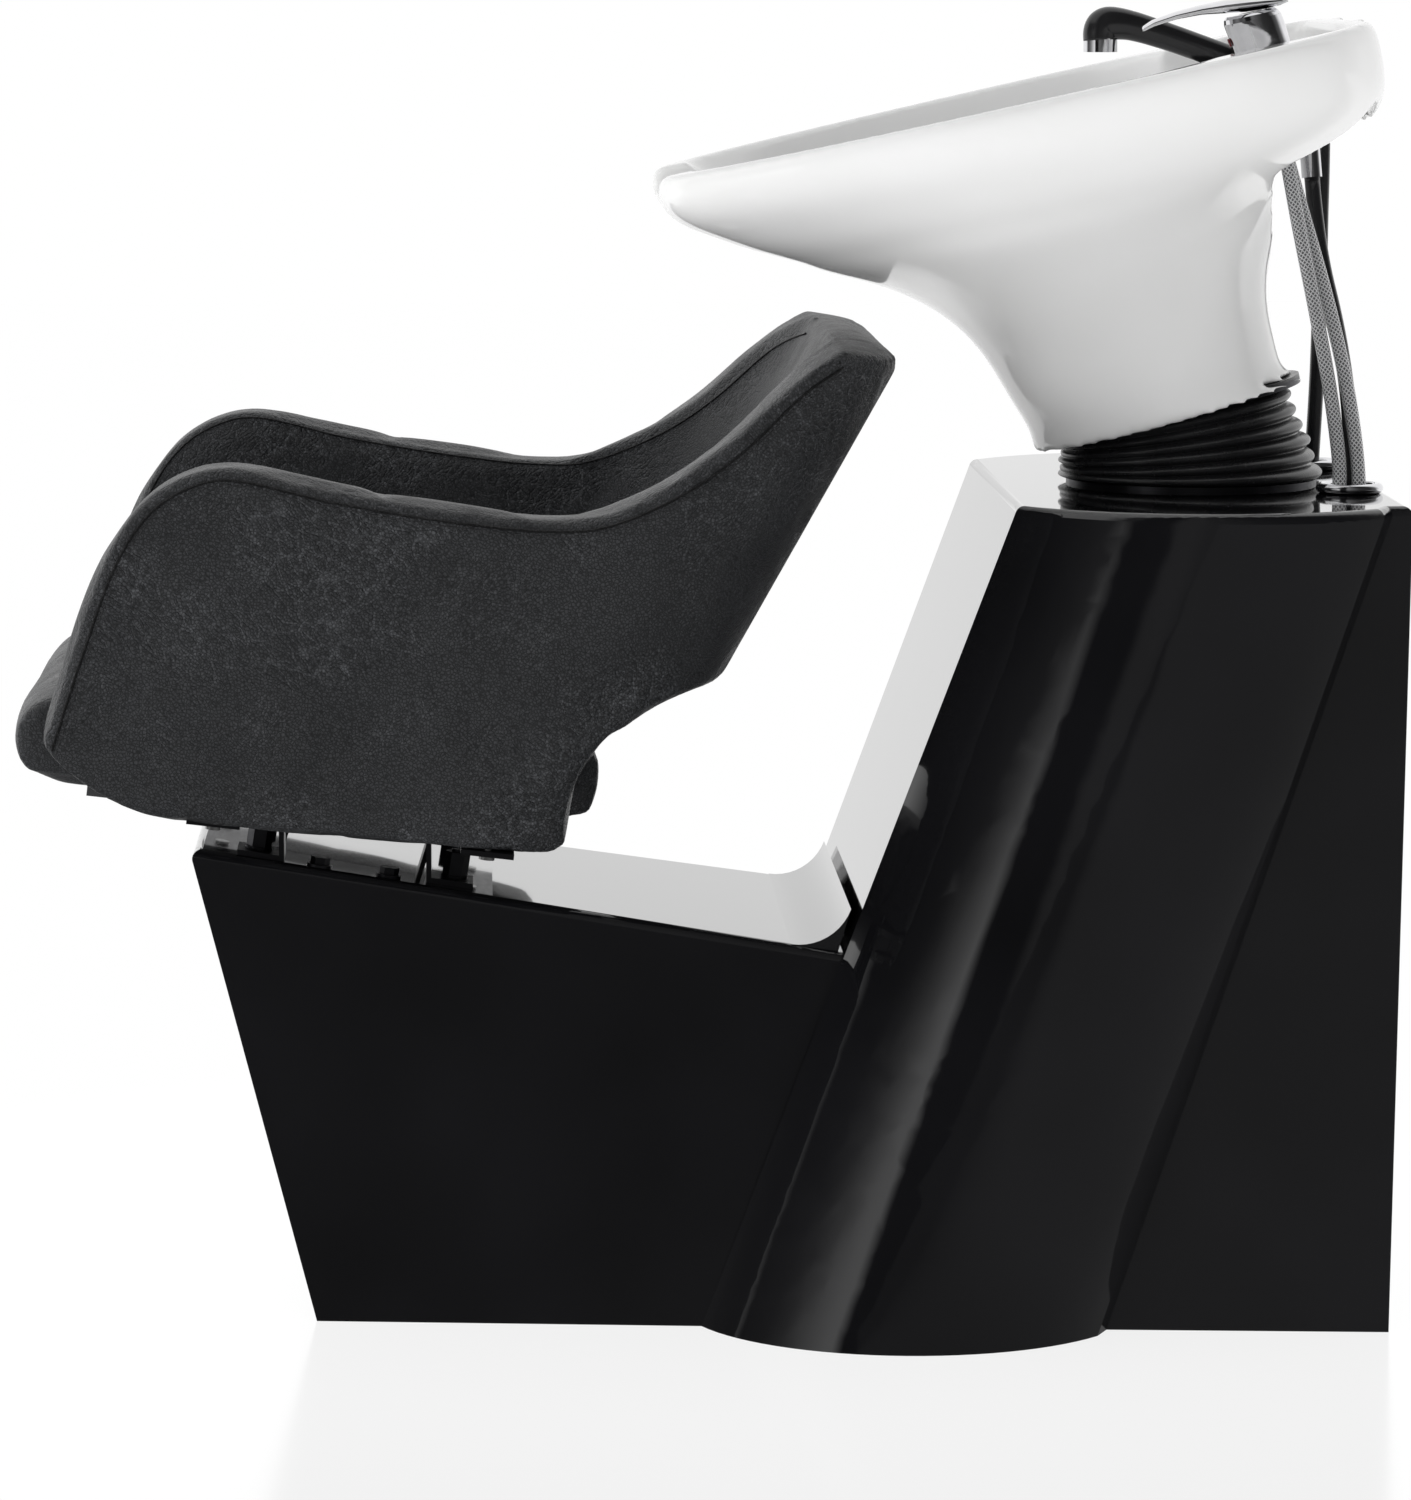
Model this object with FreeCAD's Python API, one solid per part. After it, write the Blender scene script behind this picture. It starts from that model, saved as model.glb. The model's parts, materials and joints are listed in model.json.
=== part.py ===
"""Salon backwash unit: an upholstered chair and a tilting ceramic basin on one moulded pedestal.

Millimetres. +X points from the chair to the tower, +Y to the side of the hand shower, +Z up.
The origin is the middle of the footprint box, on the floor.
"""

import FreeCAD, Part
import math
import os

Vec = FreeCAD.Vector
ORIGIN = Vec(0, 0, 0)
Y_AXIS = Vec(0, 1, 0)
Z_AXIS = Vec(0, 0, 1)

# Shared sizes
overrun = 5.0
soft_gap = 0.4
running_gap = 0.05
match_gap = 0.5

# Pedestal: plinth under the chair
plinth_front_x = -397.0
plinth_front_z = 366.0
plinth_toe_x = -301.0
plinth_toe_half = 168.0
plinth_heel_x = 98.0
plinth_heel_z = 290.0
plinth_side_draft = 14.0
plinth_cove_radius = 42.0

# Pedestal: tower with a leaning half column on each side
tower_toe_x = -5.0
tower_toe_half = 197.0
tower_front_top_x = 233.0
tower_front_top_half = 222.0
tower_rear_top_x = 530.0
tower_rear_toe_x = 520.0
tower_rear_half = 238.0
tower_top_z = 634.0
column_low_x = 150.0
column_low_half = 307.0
column_low_end_x = 296.0
column_low_fall = 64.0
column_low_end_half = column_low_half - column_low_fall
column_top_x = 350.0
column_top_half = 300.0
column_top_end_x = 508.0
column_top_fall = 42.0
column_top_end_half = column_top_half - column_top_fall
column_root_half = 100.0
column_step = 9.0
base_wall = 6.0
base_edge_round = 7.0
base_flange_width = 34.0
base_flange_thick = 8.0
floor_hole_radius = 5.0
floor_hole_front_x = -279.0
floor_hole_rear_x = 497.0
floor_hole_half = 138.0

# Service tray let into the back of the tower
tray_half = 128.0
tray_low_z = 92.0
tray_high_z = 330.0
tray_depth = 48.0
tray_sheet = 2.0
tray_lip = 16.0
tray_screw_radius = 2.0
tray_screw_head_radius = 4.2
tray_screw_head_height = 1.6
inlet_z = 262.0
inlet_half = 62.0
inlet_radius = 10.0
inlet_bore = 6.0
inlet_outside = 26.0
inlet_thread_radius = 9.5
inlet_inside = 24.0
inlet_nut_flat = 28.0
inlet_nut_height = 7.0
outlet_z = 158.0
outlet_radius = 20.0
outlet_wall = 2.0
outlet_outside = 34.0
outlet_spigot_radius = 19.0
outlet_spigot_length = 30.0

# Chair: seat plane, seat pad and base board
seat_pitch = 6.7
seat_plane_x = -269.0
seat_plane_z = 394.0
seat_front_x = -530.0
seat_rear_x = -78.0
seat_pad_thick = 62.0
seat_pad_crown = 16.0
seat_pad_bulge = 9.0
seat_pad_rake = 26.0
seat_pad_draw = 7.0
board_front_x = -470.0
board_rear_x = -168.0
board_margin = 26.0
board_thick = 12.0
seat_tongue_half = 150.0
seat_tongue_length = 130.0
seat_tongue_corner = 36.0

# Chair: back and arms in one upholstered wrap
chair_front_x = -500.0
chair_length = 650.0
chair_low_z = 380.0
chair_height = 376.0
wrap_lean = 29.5
wrap_rear_top_x = 147.0
wrap_rear_top_z = 745.0
wrap_base_z = 366.0
wrap_reach = 520.0
wrap_half = 311.0
wrap_arm_thick = 61.0
wrap_inner_half = wrap_half - wrap_arm_thick
board_half = wrap_inner_half - board_margin

# Chair: brackets between seat and plinth
bracket_half = 120.0
bracket_width = 44.0
bracket_strap = 4.0
bracket_front_x = -328.0
bracket_rear_x = -211.0
bracket_foot = 32.0
stud_radius = 5.0
stud_inset = 17.0
stud_above = 26.0
stud_below = 24.0
nut_flat = 17.0
nut_height = 9.0
washer_radius = 10.5
washer_thick = 2.0
mount_plate_thick = 5.0
mount_plate_half = 130.0
mount_plate_margin = 12.0
plinth_bolt_half = 140.0
plinth_bolt_front_x = -297.0
plinth_bolt_rear_x = -244.0
plinth_bolt_radius = 4.0
plinth_bolt_flat = 13.0
plinth_washer_radius = 9.75
plinth_bolt_head = 5.5
strap_thick = 4.0
strap_width = 40.0
strap_overlap = 72.0
strap_margin = 23.0
strap_inner = board_half - strap_overlap
strap_outer = wrap_half - strap_margin
strap_front_x = -372.0
strap_rear_x = -168.0
seat_screw_radius = 3.0
seat_screw_head_radius = 6.0
seat_screw_head_height = 3.0
seat_screw_length = 9.0

# Basin: placed by the middle of its foot, then tilted
basin_tilt = 12.5
foot_x = 362.0
foot_z = 696.0
basin_depth = 262.0
basin_length = 510.0
basin_front = 350.0
basin_half = 245.0
basin_floor_w = 98.0
bowl_length = 413.0
bowl_front = 318.0
bowl_half = 218.0
neck_radius = 105.0
neck_depth = 50.0
neck_reach = 130.0
deck_w = 242.0
deck_front_u = 84.0
deck_rear_u = 190.0
deck_half = 168.0
deck_corner = 40.0
back_pocket_front_u = 112.0
back_pocket_rear_u = 197.0
back_pocket_low_w = 96.0
back_pocket_half = 150.0
back_pocket_roof = 14.0
foot_front_share = 0.294
foot_rear_share = 0.24
foot_half_share = 0.41
foot_front_u = -basin_front * foot_front_share
foot_rear_u = basin_length * foot_rear_share
foot_middle_u = (foot_front_u + foot_rear_u) / 2
foot_wall = 46.0
foot_cavity_half_u = foot_rear_u - foot_middle_u - foot_wall
foot_cavity_half = 54.0
foot_cavity_top_w = 74.0
foot_cavity_taper = 16.0

# Waste
waste_u = 22.0
waste_hole_radius = 24.0
waste_flange_radius = 33.0
waste_flange_thick = 4.0
waste_seal_thick = 3.0
waste_tail_radius = 20.0
waste_tail_wall = 2.0
waste_tail_low_w = -24.0
waste_nut_radius = 34.0
waste_nut_height = 10.0
strainer_radius = 17.0
strainer_depth = 16.0
strainer_wall = 1.5
strainer_slot_radius = 2.2
strainer_slot_ring = 10.5
strainer_slot_count = 8
waste_hose_radius = 24.0
waste_hose_wall = 2.5
trap_radius = 36.0
trap_wall = 3.0
trap_top_z = 318.0
trap_low_z = 96.0
trap_collar_height = 18.0

# Tilting mount between tower and basin
hinge_u = -30.0
hinge_w = -21.0
hinge_pin_radius = 7.0
hinge_pin_half = 46.0
hinge_ear_half = 36.0
hinge_ear_thick = 6.0
hinge_ear_radius = 12.0
hinge_knuckle_half = 32.0
hinge_knuckle_radius = 13.0
hinge_bush_wall = 2.0
mount_base_thick = 5.0
mount_base_front_x = 324.0
mount_base_rear_x = 420.0
mount_base_half = 60.0
mount_bolt_radius = 4.0
mount_bolt_front_x = 362.0
mount_bolt_rear_x = 411.0
mount_bolt_half = 51.0
mount_bolt_flat = 13.0
mount_bolt_head = 5.5
carrier_thick = 5.0
carrier_margin = 9.0
skirt_gap = 0.5
carrier_hole_radius = 40.0
gasket_thick = 2.0
carrier_bolt_radius = 4.0
carrier_bolt_share = 0.09
carrier_bolt_u = basin_length * carrier_bolt_share
carrier_bolt_half = 55.0
carrier_bolt_depth = 22.0
pin_clip_thick = 2.5
pin_clip_radius = 11.0
waste_port_radius = 44.0

# Bellows round the mount
bellows_x = 389.0
bellows_radius = 106.0
bellows_top_radius = 91.0
bellows_top_u = 12.0
bellows_groove = 9.0
bellows_wall = 1.6
bellows_ribs = 6
bellows_ring_thick = 3.0
bellows_ring_width = 9.0

# Mixer tap
tap_u = 134.0
tap_side = 60.0
tap_hole_radius = 17.5
tap_base_radius = 25.0
tap_neck_radius = 22.5
tap_lean = 9.0
tap_body_top_w = 280.0
tap_seal_thick = 2.0
tap_shank_radius = 16.0
tap_shank_low_w = 206.0
tap_nut_height = 8.0
tap_nut_flat = 36.0
cap_height = 5.5
cap_rise = 3.4
cap_rise_radius = 21.4
cap_top_radius = 19.0
cartridge_radius = 15.0
cartridge_depth = 24.0
lever_tip_u = 42.0
lever_rear_u = 158.0
lever_low_w = 286.0
lever_top_w = 298.0
lever_tip_half = 8.0
lever_root_half = 19.0
lever_heel_half = 15.2
lever_shoulder_u = 121.0
lever_stem_radius = 4.0
lever_stem_bore = 9.0
lever_stem_length = 5.0
index_radius = 3.4
index_height = 1.2

# Hand shower and its holder
shower_slope = 33.0
shower_side = 60.0
shower_deck_u = 128.0
holder_radius = 19.0
holder_bore = 13.0
holder_above = 14.0
holder_below = 22.0
holder_hole_radius = 24.0
holder_nut_thick = 7.0
holder_nut_radius = 31.0
handle_radius = 12.2
handle_root_radius = 11.2
handle_reach = 94.0
handle_socket = 12.0
handle_head_radius = 16.0
handle_head_forward = 26.0
handle_head_drop = 4.0
nozzle_radius = 13.5
nozzle_seat = 9.0
nozzle_height = 10.0
nozzle_wall = 2.0
spray_face_inset = 3.0
spray_face_thick = 2.5
tail_radius = 8.0
tail_length = 10.0

# Hoses and the two rings that they pass through
supply_radius = 5.5
shower_hose_radius = 6.0
ring_x = 499.0
ring_half = 113.0
ring_radius = 22.0
ring_wire = 4.0
ring_bore = 19.5
ring_sleeve = 10.0
ring_sleeve_wall = 1.0
supply_nut_radius = 8.0
supply_nut_height = 14.0
ferrule_radius = 8.0
ferrule_height = 32.0
outlet_arm_radius = 6.0

# Share tables, chosen by hand from the outlines of the object
arm_front_shares = [
    (0.0, 0.229),
    (0.034, 0.407),
    (0.075, 0.596),
    (0.118, 0.707),
    (0.172, 0.766),
    (0.231, 0.779),
]
arm_top_shares = [
    (0.231, 0.779),
    (0.343, 0.734),
    (0.482, 0.694),
    (0.586, 0.676),
    (0.651, 0.686),
    (0.731, 0.745),
    (0.795, 0.822),
    (0.865, 0.934),
    (0.92, 1.0),
]
back_top_share = (1.12, 0.93)
back_foot_share = (1.12, 0.32)
arm_rear_shares = [(0.767, 0.32), (0.718, 0.297), (0.66, 0.237), (0.623, 0.16), (0.602, 0.05)]
arm_toe_shares = [(0.122, 0.104), (0.054, 0.141), (0.0, 0.229)]
wrap_outer_shares = [
    (1.0, 1.0),
    (0.63, 0.985),
    (0.29, 0.952),
    (0.115, 0.875),
    (0.027, 0.74),
    (0.0, 0.547),
    (0.0, 0.0),
]
wrap_inner_shares = [(0.308, 1.0), (0.2, 0.91), (0.125, 0.72), (0.098, 0.46), (0.096, 0.0)]

# Each basin section: front and rear height, front, rear and half width, and how much of the rim plan it has
basin_section_shares = [
    (-0.065, -0.012, foot_front_share, foot_rear_share, foot_half_share, 0.0),
    (0.08, 0.08, 0.315, 0.196, 0.405, 0.0),
    (0.2, 0.2, 0.345, 0.196, 0.415, 0.0),
    (0.33, 0.33, 0.392, 0.21, 0.46, 0.02),
    (0.44, 0.44, 0.465, 0.235, 0.54, 0.1),
    (0.53, 0.53, 0.56, 0.257, 0.635, 0.25),
    (0.61, 0.61, 0.675, 0.295, 0.735, 0.5),
    (0.665, 0.665, 0.745, 0.355, 0.8, 0.7),
    (0.72, 0.72, 0.82, 0.4, 0.865, 0.85),
    (0.8, 0.8, 0.91, 0.418, 0.935, 1.0),
    (0.88, 0.88, 0.985, 0.422, 0.985, 1.0),
    (0.96, 0.96, 1.0, 0.42, 1.0, 1.0),
    (1.0, 1.0, 0.985, 0.412, 0.98, 1.0),
]
bowl_section_shares = [
    (0.374, 0.374, 0.1, 0.15, 0.27, 0.0),
    (0.45, 0.45, 0.283, 0.18, 0.45, 0.1),
    (0.57, 0.57, 0.5, 0.2, 0.65, 0.4),
    (0.725, 0.725, 0.74, 0.218, 0.83, 0.8),
    (0.88, 0.88, 0.915, 0.23, 0.945, 1.0),
    (0.97, 0.97, 0.985, 0.236, 0.99, 1.0),
    (1.03, 1.03, 1.035, 0.244, 1.03, 1.0),
]
rim_plan_shares = [
    (0.0, 0.0),
    (0.0, 0.3),
    (0.012, 0.53),
    (0.1, 0.72),
    (0.28, 0.89),
    (0.5, 0.985),
    (0.68, 1.0),
    (0.85, 0.95),
    (0.965, 0.72),
    (1.0, 0.38),
    (1.0, 0.0),
]
seat_across_shares = [-1.0, -0.8, 0.0, 0.8, 1.0]
bellows_fold_shares = [(0.0, 1.0), (0.3, 0.1), (0.5, 0.0), (0.7, 0.1)]
tap_waist_share = 0.3
tap_shoulder_share = 0.75
index_share = 0.72
lever_top_shares = [(0.0, 0.7), (0.1, 1.0), (0.45, 0.98), (0.72, 0.86), (0.92, 0.6), (1.0, 0.2)]
lever_under_shares = [(1.0, 0.02), (0.8, 0.02), (0.62, 0.14), (0.4, 0.34), (0.1, 0.42), (0.0, 0.7)]
bend_share = 0.45

# Hose routes, from the basin down into the tower
hot_route = [
    (449, -69, 912),
    (459, -79, 850),
    (472, -97, 780),
    (485, -113, 705),
    (493.5, -120, 630),
    (472, -132, 548),
    (440, -124, 476),
    (406, -104, 410),
    (380, -80, 342),
    (376, -62, 264),
    (452, -62, 262),
]
cold_route = [
    (449, -51, 912),
    (466, -64, 850),
    (484, -90, 780),
    (500, -108, 705),
    (508, -117, 630),
    (500, -128, 556),
    (474, -116, 490),
    (440, -78, 440),
    (430, -30, 404),
    (422, 24, 372),
    (381, 60, 340),
    (376, 62, 264),
    (452, 62, 262),
]
shower_route = [
    (477, -38, 874),
    (481, -44, 822),
    (496, -64, 756),
    (502, -95, 690),
    (500.5, -104.5, 628),
    (500, -96, 552),
    (486, -84, 480),
    (470, -62, 424),
    (462, -24, 396),
    (462, 24, 396),
    (470, 62, 424),
    (486, 92, 480),
    (496, 108, 552),
    (499, 113, 628),
    (502, 106, 700),
    (502, 94, 766),
    (500, 78, 830),
    (499, 64, 880),
    (498.3, 60, 936.2),
    (444, 60, 956.5),
]

os.makedirs("parts", exist_ok=True)


def export(name, shape):
    """Writes one node and says how many solids it holds."""
    shape.exportStep(f"parts/{name}.step")
    print(f"{name}: {len(shape.Solids)} solid(s), {shape.Volume / 1000:.1f} cm3, valid {shape.isValid()}")


def mix(low, high, share):
    return low + (high - low) * share


def polygon(points):
    return Part.makePolygon([*points, points[0]])


def prism(points, along):
    """A straight prism on a flat polygon."""
    return Part.Face(polygon(points)).extrude(along)


def profile_prism(profile, half, middle=0.0):
    """A prism of an X-Z outline, as wide as two halves about a middle in Y."""
    points = [Vec(x, middle - half, z) for x, z in profile]
    return prism(points, Vec(0, 2 * half, 0))


def block(low, high):
    return Part.makeBox(high[0] - low[0], high[1] - low[1], high[2] - low[2], Vec(*low))


def rod(radius, start, end):
    """A round bar from one point to another."""
    along = end - start
    return Part.makeCylinder(radius, along.Length, start, along)


def pipe(radius, bore, start, end):
    return rod(radius, start, end).cut(rod(bore, start, end))


def hexagon(flat, start, end):
    """A hexagonal bar, flat to flat, from one point to another along its axis."""
    along = end - start
    corner = flat / math.sqrt(3)
    points = []
    for side in range(6):
        angle = math.pi * side / 3
        points.append(Vec(corner * math.cos(angle), corner * math.sin(angle), 0))
    bar = prism(points, Vec(0, 0, along.Length))
    bar.Placement = FreeCAD.Placement(start, FreeCAD.Rotation(Z_AXIS, along))
    return bar


def mirrored(shape):
    return shape.mirror(ORIGIN, Y_AXIS)


def group(shapes):
    return Part.makeCompound(shapes)


def fused(shapes):
    return shapes[0].multiFuse(shapes[1:]).removeSplitter()


def spline(points):
    curve = Part.BSplineCurve()
    curve.interpolate(points)
    return curve.toShape()


def closed_spline(points):
    curve = Part.BSplineCurve()
    curve.interpolate(Points=points, PeriodicFlag=True)
    return Part.Wire(curve.toShape())


def plinth_z(x):
    """Height of the sloping plinth top."""
    return mix(plinth_heel_z, plinth_front_z, (x - plinth_heel_x) / (plinth_front_x - plinth_heel_x))


def plinth_half(x):
    """Half width of the plinth at the floor."""
    return mix(plinth_toe_half, tower_toe_half, (x - plinth_toe_x) / (tower_toe_x - plinth_toe_x))


def seat_z(x):
    """Height of the plane under the seat board."""
    return seat_plane_z - (x - seat_plane_x) * math.tan(math.radians(seat_pitch))


plinth_slope = math.degrees(math.atan2(plinth_front_z - plinth_heel_z, plinth_heel_x - plinth_front_x))
rear_draft = math.degrees(math.atan2(tower_rear_top_x - tower_rear_toe_x, tower_top_z))
front_lean = math.atan2(tower_front_top_x - tower_toe_x, tower_top_z)


def on_plinth(shape, x, y):
    """Sets a piece that was made about the origin square on the sloping plinth top."""
    placed = shape.copy()
    placed.rotate(ORIGIN, Y_AXIS, plinth_slope)
    placed.translate(Vec(x, y, plinth_z(x)))
    return placed


def under_seat(shape, x, y):
    """Sets a piece that was made about the origin square on the plane under the seat."""
    placed = shape.copy()
    placed.rotate(ORIGIN, Y_AXIS, seat_pitch)
    placed.translate(Vec(x, y, seat_z(x)))
    return placed


def on_tower_back(shape):
    """Sets a piece made on the plane X = 0 against the slightly leaning back of the tower."""
    placed = shape.copy()
    placed.rotate(ORIGIN, Y_AXIS, rear_draft)
    placed.translate(Vec(tower_rear_toe_x, 0, 0))
    return placed


def tilted(shape):
    """Takes a piece from the level frame of the basin, whose origin is under its foot, to its place."""
    placed = shape.copy()
    placed.rotate(ORIGIN, Y_AXIS, -basin_tilt)
    placed.translate(Vec(foot_x, 0, foot_z))
    return placed


def tilted_point(u, y, w):
    turn = math.radians(basin_tilt)
    x = foot_x + u * math.cos(turn) - w * math.sin(turn)
    z = foot_z + u * math.sin(turn) + w * math.cos(turn)
    return Vec(x, y, z)


# Pedestal


def plinth_form(inset):
    """The low plinth, widening towards the tower, drawn in at the top."""
    root_x = column_low_x
    wires = []
    for low_x, high_x, high_z in (
        (plinth_toe_x + inset, plinth_front_x + inset, plinth_front_z - inset),
        (root_x, root_x, plinth_z(root_x) - inset),
    ):
        low_half = plinth_half(low_x) - inset
        high_half = plinth_half(high_x) - plinth_side_draft - inset
        wires.append(
            polygon(
                [
                    Vec(low_x, -low_half, 0),
                    Vec(low_x, low_half, 0),
                    Vec(high_x, high_half, high_z),
                    Vec(high_x, -high_half, high_z),
                ]
            )
        )
    return Part.makeLoft(wires, True, True)


def tower_corner(level, inset):
    """Front x, front half width, rear x and rear half width of the tower at a share of its height."""
    front_x = mix(tower_toe_x, tower_front_top_x, level) + inset / math.cos(front_lean)
    front_half = mix(tower_toe_half, tower_front_top_half, level) - inset
    rear_x = mix(tower_rear_toe_x, tower_rear_top_x, level) - inset
    return front_x, front_half, rear_x, tower_rear_half - inset


def tower_form(inset):
    wires = []
    for z in (0.0, tower_top_z - inset):
        front_x, front_half, rear_x, rear_half = tower_corner(z / tower_top_z, inset)
        wires.append(
            polygon(
                [
                    Vec(front_x, -front_half, z),
                    Vec(rear_x, -rear_half, z),
                    Vec(rear_x, rear_half, z),
                    Vec(front_x, front_half, z),
                ]
            )
        )
    return Part.makeLoft(wires, True, True)


def column_form(inset):
    """The leaning half column that swells from the near side of the tower."""
    wires = []
    for z in (0.0, tower_top_z - inset):
        level = z / tower_top_z
        front_x, front_half, rear_x, rear_half = tower_corner(level, inset)
        swell_half = mix(column_low_half, column_top_half, level) - inset
        swell = Vec(mix(column_low_x, column_top_x, level), -swell_half, z)
        end_x = mix(column_low_end_x, column_top_end_x, level) - inset
        start = Vec(front_x, -front_half, z)
        end = Vec(end_x, inset - mix(column_low_end_half, column_top_end_half, level), z)
        step_x = end_x + column_step
        flat_half = mix(front_half, rear_half, (step_x - front_x) / (rear_x - front_x))
        step = Vec(step_x, -flat_half, z)
        root_rear = Vec(step_x, -column_root_half, z)
        root_front = Vec(front_x, -column_root_half, z)
        corners = [end, step, root_rear, root_front, start]
        edges = [Part.Arc(start, swell, end).toShape()]
        edges += [Part.LineSegment(a, b).toShape() for a, b in zip(corners, corners[1:])]
        wires.append(Part.Wire(edges))
    return Part.makeLoft(wires, True, True)


def cove_form():
    """The hollow round between the plinth top and the front of the tower."""
    corner = Vec(plinth_heel_x, 0, plinth_z(plinth_heel_x))
    along_top = Vec(plinth_front_x - plinth_heel_x, 0, plinth_front_z - plinth_heel_z).normalize()
    up_front = Vec(math.sin(front_lean), 0, math.cos(front_lean))
    opening = along_top.getAngle(up_front)
    reach = plinth_cove_radius / math.tan(opening / 2)
    middle = (along_top + up_front).normalize()
    low = corner + along_top * reach
    high = corner + up_front * reach
    sag = corner + middle * (plinth_cove_radius / math.sin(opening / 2) - plinth_cove_radius)
    inside = corner - middle * base_wall / 2
    half = plinth_half(plinth_heel_x) - plinth_side_draft - base_edge_round
    edges = [
        Part.Arc(low, sag, high).toShape(),
        Part.LineSegment(high, inside).toShape(),
        Part.LineSegment(inside, low).toShape(),
    ]
    section = Part.Face(Part.Wire(edges))
    section.translate(Vec(0, -half, 0))
    return section.extrude(Vec(0, 2 * half, 0))


def base_form(inset):
    column = column_form(inset)
    return fused([plinth_form(inset), tower_form(inset), column, mirrored(column)])


def base_outside():
    """The outside of the moulding, with its top edges rounded and the cove blended in."""
    plinth = plinth_form(0.0)
    plinth = plinth.makeFillet(base_edge_round, plinth_edges(plinth))
    column = column_form(0.0)
    tower = fused([tower_form(0.0), column, mirrored(column)])
    tower = tower.makeFillet(base_edge_round, top_edges(tower))
    return fused([plinth, tower, cove_form()])


def top_edges(shape):
    """Edges round the flat top of the tower."""
    found = []
    for edge in shape.Edges:
        heights = [vertex.Z for vertex in edge.Vertexes]
        if min(heights) > tower_top_z - match_gap:
            found.append(edge)
    return found


def plinth_edges(shape):
    """Long side edges and front edge of the plinth top."""
    found = []
    for edge in shape.Edges:
        ends = [vertex.Point for vertex in edge.Vertexes]
        near = [abs(p.z - plinth_z(p.x)) < match_gap for p in ends]
        if all(near) and min(p.x for p in ends) < plinth_toe_x:
            found.append(edge)
    return found


def tray_box(grow, low_x, high_x):
    """The service opening in the plane of the tower back, grown by a margin."""
    return block(
        (low_x, -tray_half - grow, tray_low_z - grow),
        (high_x, tray_half + grow, tray_high_z + grow),
    )


def through_top(radius, x, y):
    """A round hole through the top of the tower."""
    low = Vec(x, y, tower_top_z - base_wall - overrun)
    return rod(radius, low, Vec(x, y, tower_top_z + overrun))


def through_plinth(radius, x, y):
    """A round hole square through the plinth top and what lies on or under it."""
    return on_plinth(rod(radius, Vec(0, 0, -stud_below), Vec(0, 0, stud_above)), x, y)


def base_shell():
    outer = base_outside()
    bounds = outer.BoundBox
    span = Vec(bounds.XLength + 2 * overrun, bounds.YLength + 2 * overrun, base_flange_thick)
    under = Part.makeBox(span.x, span.y, span.z, Vec(bounds.XMin - overrun, bounds.YMin - overrun, 0))
    cavity = base_form(base_wall).cut(under)
    mouth = base_form(base_wall + base_flange_width).common(under)
    shell = outer.cut(cavity).cut(mouth)
    cuts = [on_tower_back(tray_box(0.0, -tray_depth, overrun))]
    for y in (-ring_half, ring_half):
        cuts.append(through_top(ring_bore + running_gap, ring_x, y))
    cuts.append(through_top(waste_port_radius, waste_axis_x(), 0))
    for x, y in mount_bolt_places():
        cuts.append(through_top(mount_bolt_radius + running_gap, x, y))
    for x, y in stud_places():
        cuts.append(through_plinth(stud_radius + running_gap, x, y))
    for x, y in plinth_bolt_places():
        cuts.append(through_plinth(plinth_bolt_radius + running_gap, x, y))
    for x in (floor_hole_front_x, floor_hole_rear_x):
        for y in (-floor_hole_half, floor_hole_half):
            cuts.append(rod(floor_hole_radius, Vec(x, y, -overrun), Vec(x, y, base_flange_thick + overrun)))
    for y, z in tray_screw_places():
        hole = rod(tray_screw_radius + running_gap, Vec(-base_wall - overrun, y, z), Vec(overrun, y, z))
        cuts.append(on_tower_back(hole))
    return shell.cut(group(cuts))


def mount_bolt_places():
    """Corners of the tilting mount's base plate."""
    places = []
    for x in (mount_bolt_front_x, mount_bolt_rear_x):
        for y in (-mount_bolt_half, mount_bolt_half):
            places.append((x, y))
    return places


def stud_places():
    """Studs through the feet of the seat brackets."""
    places = []
    for x in (bracket_front_x - stud_inset, bracket_rear_x + stud_inset):
        for y in (-bracket_half, bracket_half):
            places.append((x, y))
    return places


def plinth_bolt_places():
    places = []
    for x in (plinth_bolt_front_x, plinth_bolt_rear_x):
        for y in (-plinth_bolt_half, plinth_bolt_half):
            places.append((x, y))
    return places


def tray_screw_places():
    """Screws round the lip of the service tray."""
    side = tray_half + tray_lip / 2
    middle = (tray_low_z + tray_high_z) / 2
    places = []
    for y in (-side, side):
        for z in (tray_low_z, middle, tray_high_z):
            places.append((y, z))
    return places


def service_tray():
    """A sheet tray with an outside lip, open to the back, that carries the water inlets and the outlet."""
    lip = tray_box(tray_lip, 0.0, tray_sheet)
    box = tray_box(-running_gap, -tray_depth, tray_sheet)
    space = tray_box(-running_gap - tray_sheet, -tray_depth + tray_sheet, tray_sheet + overrun)
    tray = lip.fuse(box).cut(space)
    for y in (-inlet_half, inlet_half):
        tray = tray.cut(rod(inlet_radius, Vec(-tray_depth - overrun, y, inlet_z), Vec(0, y, inlet_z)))
    tray = tray.cut(rod(outlet_radius, Vec(-tray_depth - overrun, 0, outlet_z), Vec(0, 0, outlet_z)))
    for y, z in tray_screw_places():
        tray = tray.cut(rod(tray_screw_radius + running_gap, Vec(-overrun, y, z), Vec(overrun, y, z)))
    return on_tower_back(tray.removeSplitter())


def tray_screws():
    screws = []
    for y, z in tray_screw_places():
        shank = rod(tray_screw_radius, Vec(-base_wall, y, z), Vec(tray_sheet, y, z))
        crown = tray_sheet + tray_screw_head_height
        head = rod(tray_screw_head_radius, Vec(tray_sheet, y, z), Vec(crown, y, z))
        screws.append(on_tower_back(shank.fuse(head)))
    return group(screws)


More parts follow.
